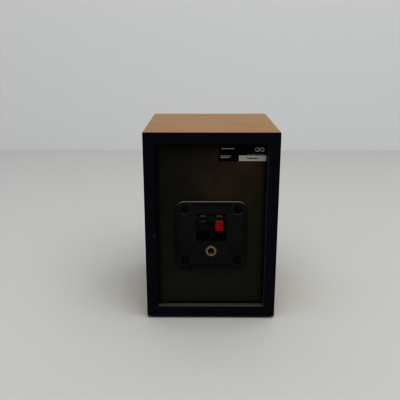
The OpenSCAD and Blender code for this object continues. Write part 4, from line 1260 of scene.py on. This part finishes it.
def wadding():
    """A loose pad of polyester wadding against the rear panel: crowned, with soft uneven sides."""
    low, high = span("damping_wadding")
    size, middle = high - low, (low + high) / 2
    corner_pull, crown_drop, waist, thinner, fill = 0.10, 0.28, 0.12, 0.93, 0.95
    lump, lump_scale = 0.05, 2.3
    shape = bmesh.new()
    bmesh.ops.create_cube(shape, size=2)
    bmesh.ops.subdivide_edges(shape, edges=shape.edges, cuts=23, use_grid_fill=True)
    for v in shape.verts:
        x, y, z = v.co
        pull = 1 - corner_pull * (abs(x) ** 6 + abs(z) ** 6) * (1 - 0.3 * abs(y))
        crown = 1 - crown_drop * max(abs(x), abs(z)) ** 5
        side = pull * (1 - waist * y * y)
        wobble = noise.fractal(Vector((x, y, z)) * lump_scale, 1.0, 2.0, 4) * lump
        out = Vector((x * side, y * crown * thinner, z * side)) * (fill + wobble)
        v.co = Vector((middle[i] + out[i] * size[i] / 2 for i in range(3))) * MM
    mesh = bpy.data.meshes.new("wadding_pad")
    shape.to_mesh(mesh)
    shape.free()
    made = piece("wadding_pad", mesh, "wadding", ["damping_wadding"], smooth=180)


def inner_pieces():
    """The CAD nodes that stay as they are get their slot's material."""
    slots = {s["node"]: s["material_slot"] for s in frame["record"]["subparts"]}
    for name, node in frame["nodes"].items():
        if node.hide_render:
            continue
        node.data.materials.clear()
        node.data.materials.append(FINISH[slots[name]])


# ---------- Stage, light and camera ----------

WALL_Y = -0.762
STAGE_HALF = 3.0
AIR_LOW, AIR_HIGH = 0.17, 0.42
LAMP_WATTS = 18


def stage():
    """A pale floor and a pale wall behind, as in a small photo studio."""
    left, right, near = -STAGE_HALF, STAGE_HALF, STAGE_HALF
    floor = [(left, WALL_Y, 0), (right, WALL_Y, 0), (right, near, 0), (left, near, 0)]
    wall = [(left, WALL_Y, 0), (left, WALL_Y, STAGE_HALF), (right, WALL_Y, STAGE_HALF), (right, WALL_Y, 0)]
    for name, shade, corners in (
        ("stage_floor", (0.582, 0.585, 0.572), floor),
        ("stage_wall", (0.80, 0.803, 0.815), wall),
    ):
        card = Finish(name, shade, 0.85, Specular_IOR_Level=0.15)
        card.bump(card.noise(1.5, detail=3), 0.02)
        mesh = bpy.data.meshes.new(name)
        mesh.from_pydata(corners, [], [[0, 1, 2, 3]])
        mesh.materials.append(card.material)
        made = bpy.data.objects.new(name, mesh)
        scene.collection.objects.link(made)


def lights():
    """Air that is bright overhead and dim at eye level, and one large soft lamp above."""
    world = bpy.data.worlds.new("studio_air")
    world.use_nodes = True
    tree = world.node_tree
    background = tree.nodes["Background"]
    direction = add_node(tree, "TexCoord", {}).outputs["Generated"]
    height = add_node(tree, "SeparateXYZ", {0: direction}).outputs["Z"]
    join(tree, smooth_step(tree, height, 0.0, 0.8, AIR_LOW, AIR_HIGH), background.inputs["Strength"])
    background.inputs["Color"].default_value = (0.97, 0.985, 1.0, 1)
    scene.world = world
    lamp = bpy.data.lights.new("top_softbox", "AREA")
    lamp.shape = "SQUARE"
    lamp.size = 2.2
    lamp.energy = LAMP_WATTS
    lamp.color = (1.0, 0.99, 0.97)
    made = bpy.data.objects.new("top_softbox", lamp)
    made.location = (-0.25, 0.7, 1.9)
    made.rotation_euler = (-made.location).to_track_quat("-Z", "Y").to_euler()
    scene.collection.objects.link(made)
    scene.view_settings.view_transform = "Standard"
    scene.view_settings.look = "Very High Contrast"


def camera():
    """The photograph's viewing angle, from behind and a little above, in terms of the cabinet's size."""
    lens = bpy.data.cameras.new("camera")
    lens.sensor_width, lens.lens = 36.0, 48.96
    lens.clip_start = 0.01
    made = bpy.data.objects.new("camera", lens)
    w = WIDTH * MM
    made.location = (0.0632 * w, REAR_Y * MM + 3.877 * w, BOX_LOW.z * MM + 2.093 * w)
    pitch, yaw = 16.31, 0.314
    made.rotation_euler = (math.radians(90 - pitch), 0, math.radians(180 + yaw))
    scene.collection.objects.link(made)
    scene.camera = made


cabinet()
feet()
label()
screws()
terminal_block()
push_lever("red_lever", "lever_red_push", "lever_red")
push_lever("black_lever", "lever_black_push", "lever_black")
contact_leaf("red_contact_spring", "contact_leaf_red")
contact_leaf("black_contact_spring", "contact_leaf_black")
threaded_insert()
woofer()
tweeter()
tinsel_leads()
grille()
wadding()
inner_pieces()
stage()
lights()
camera()
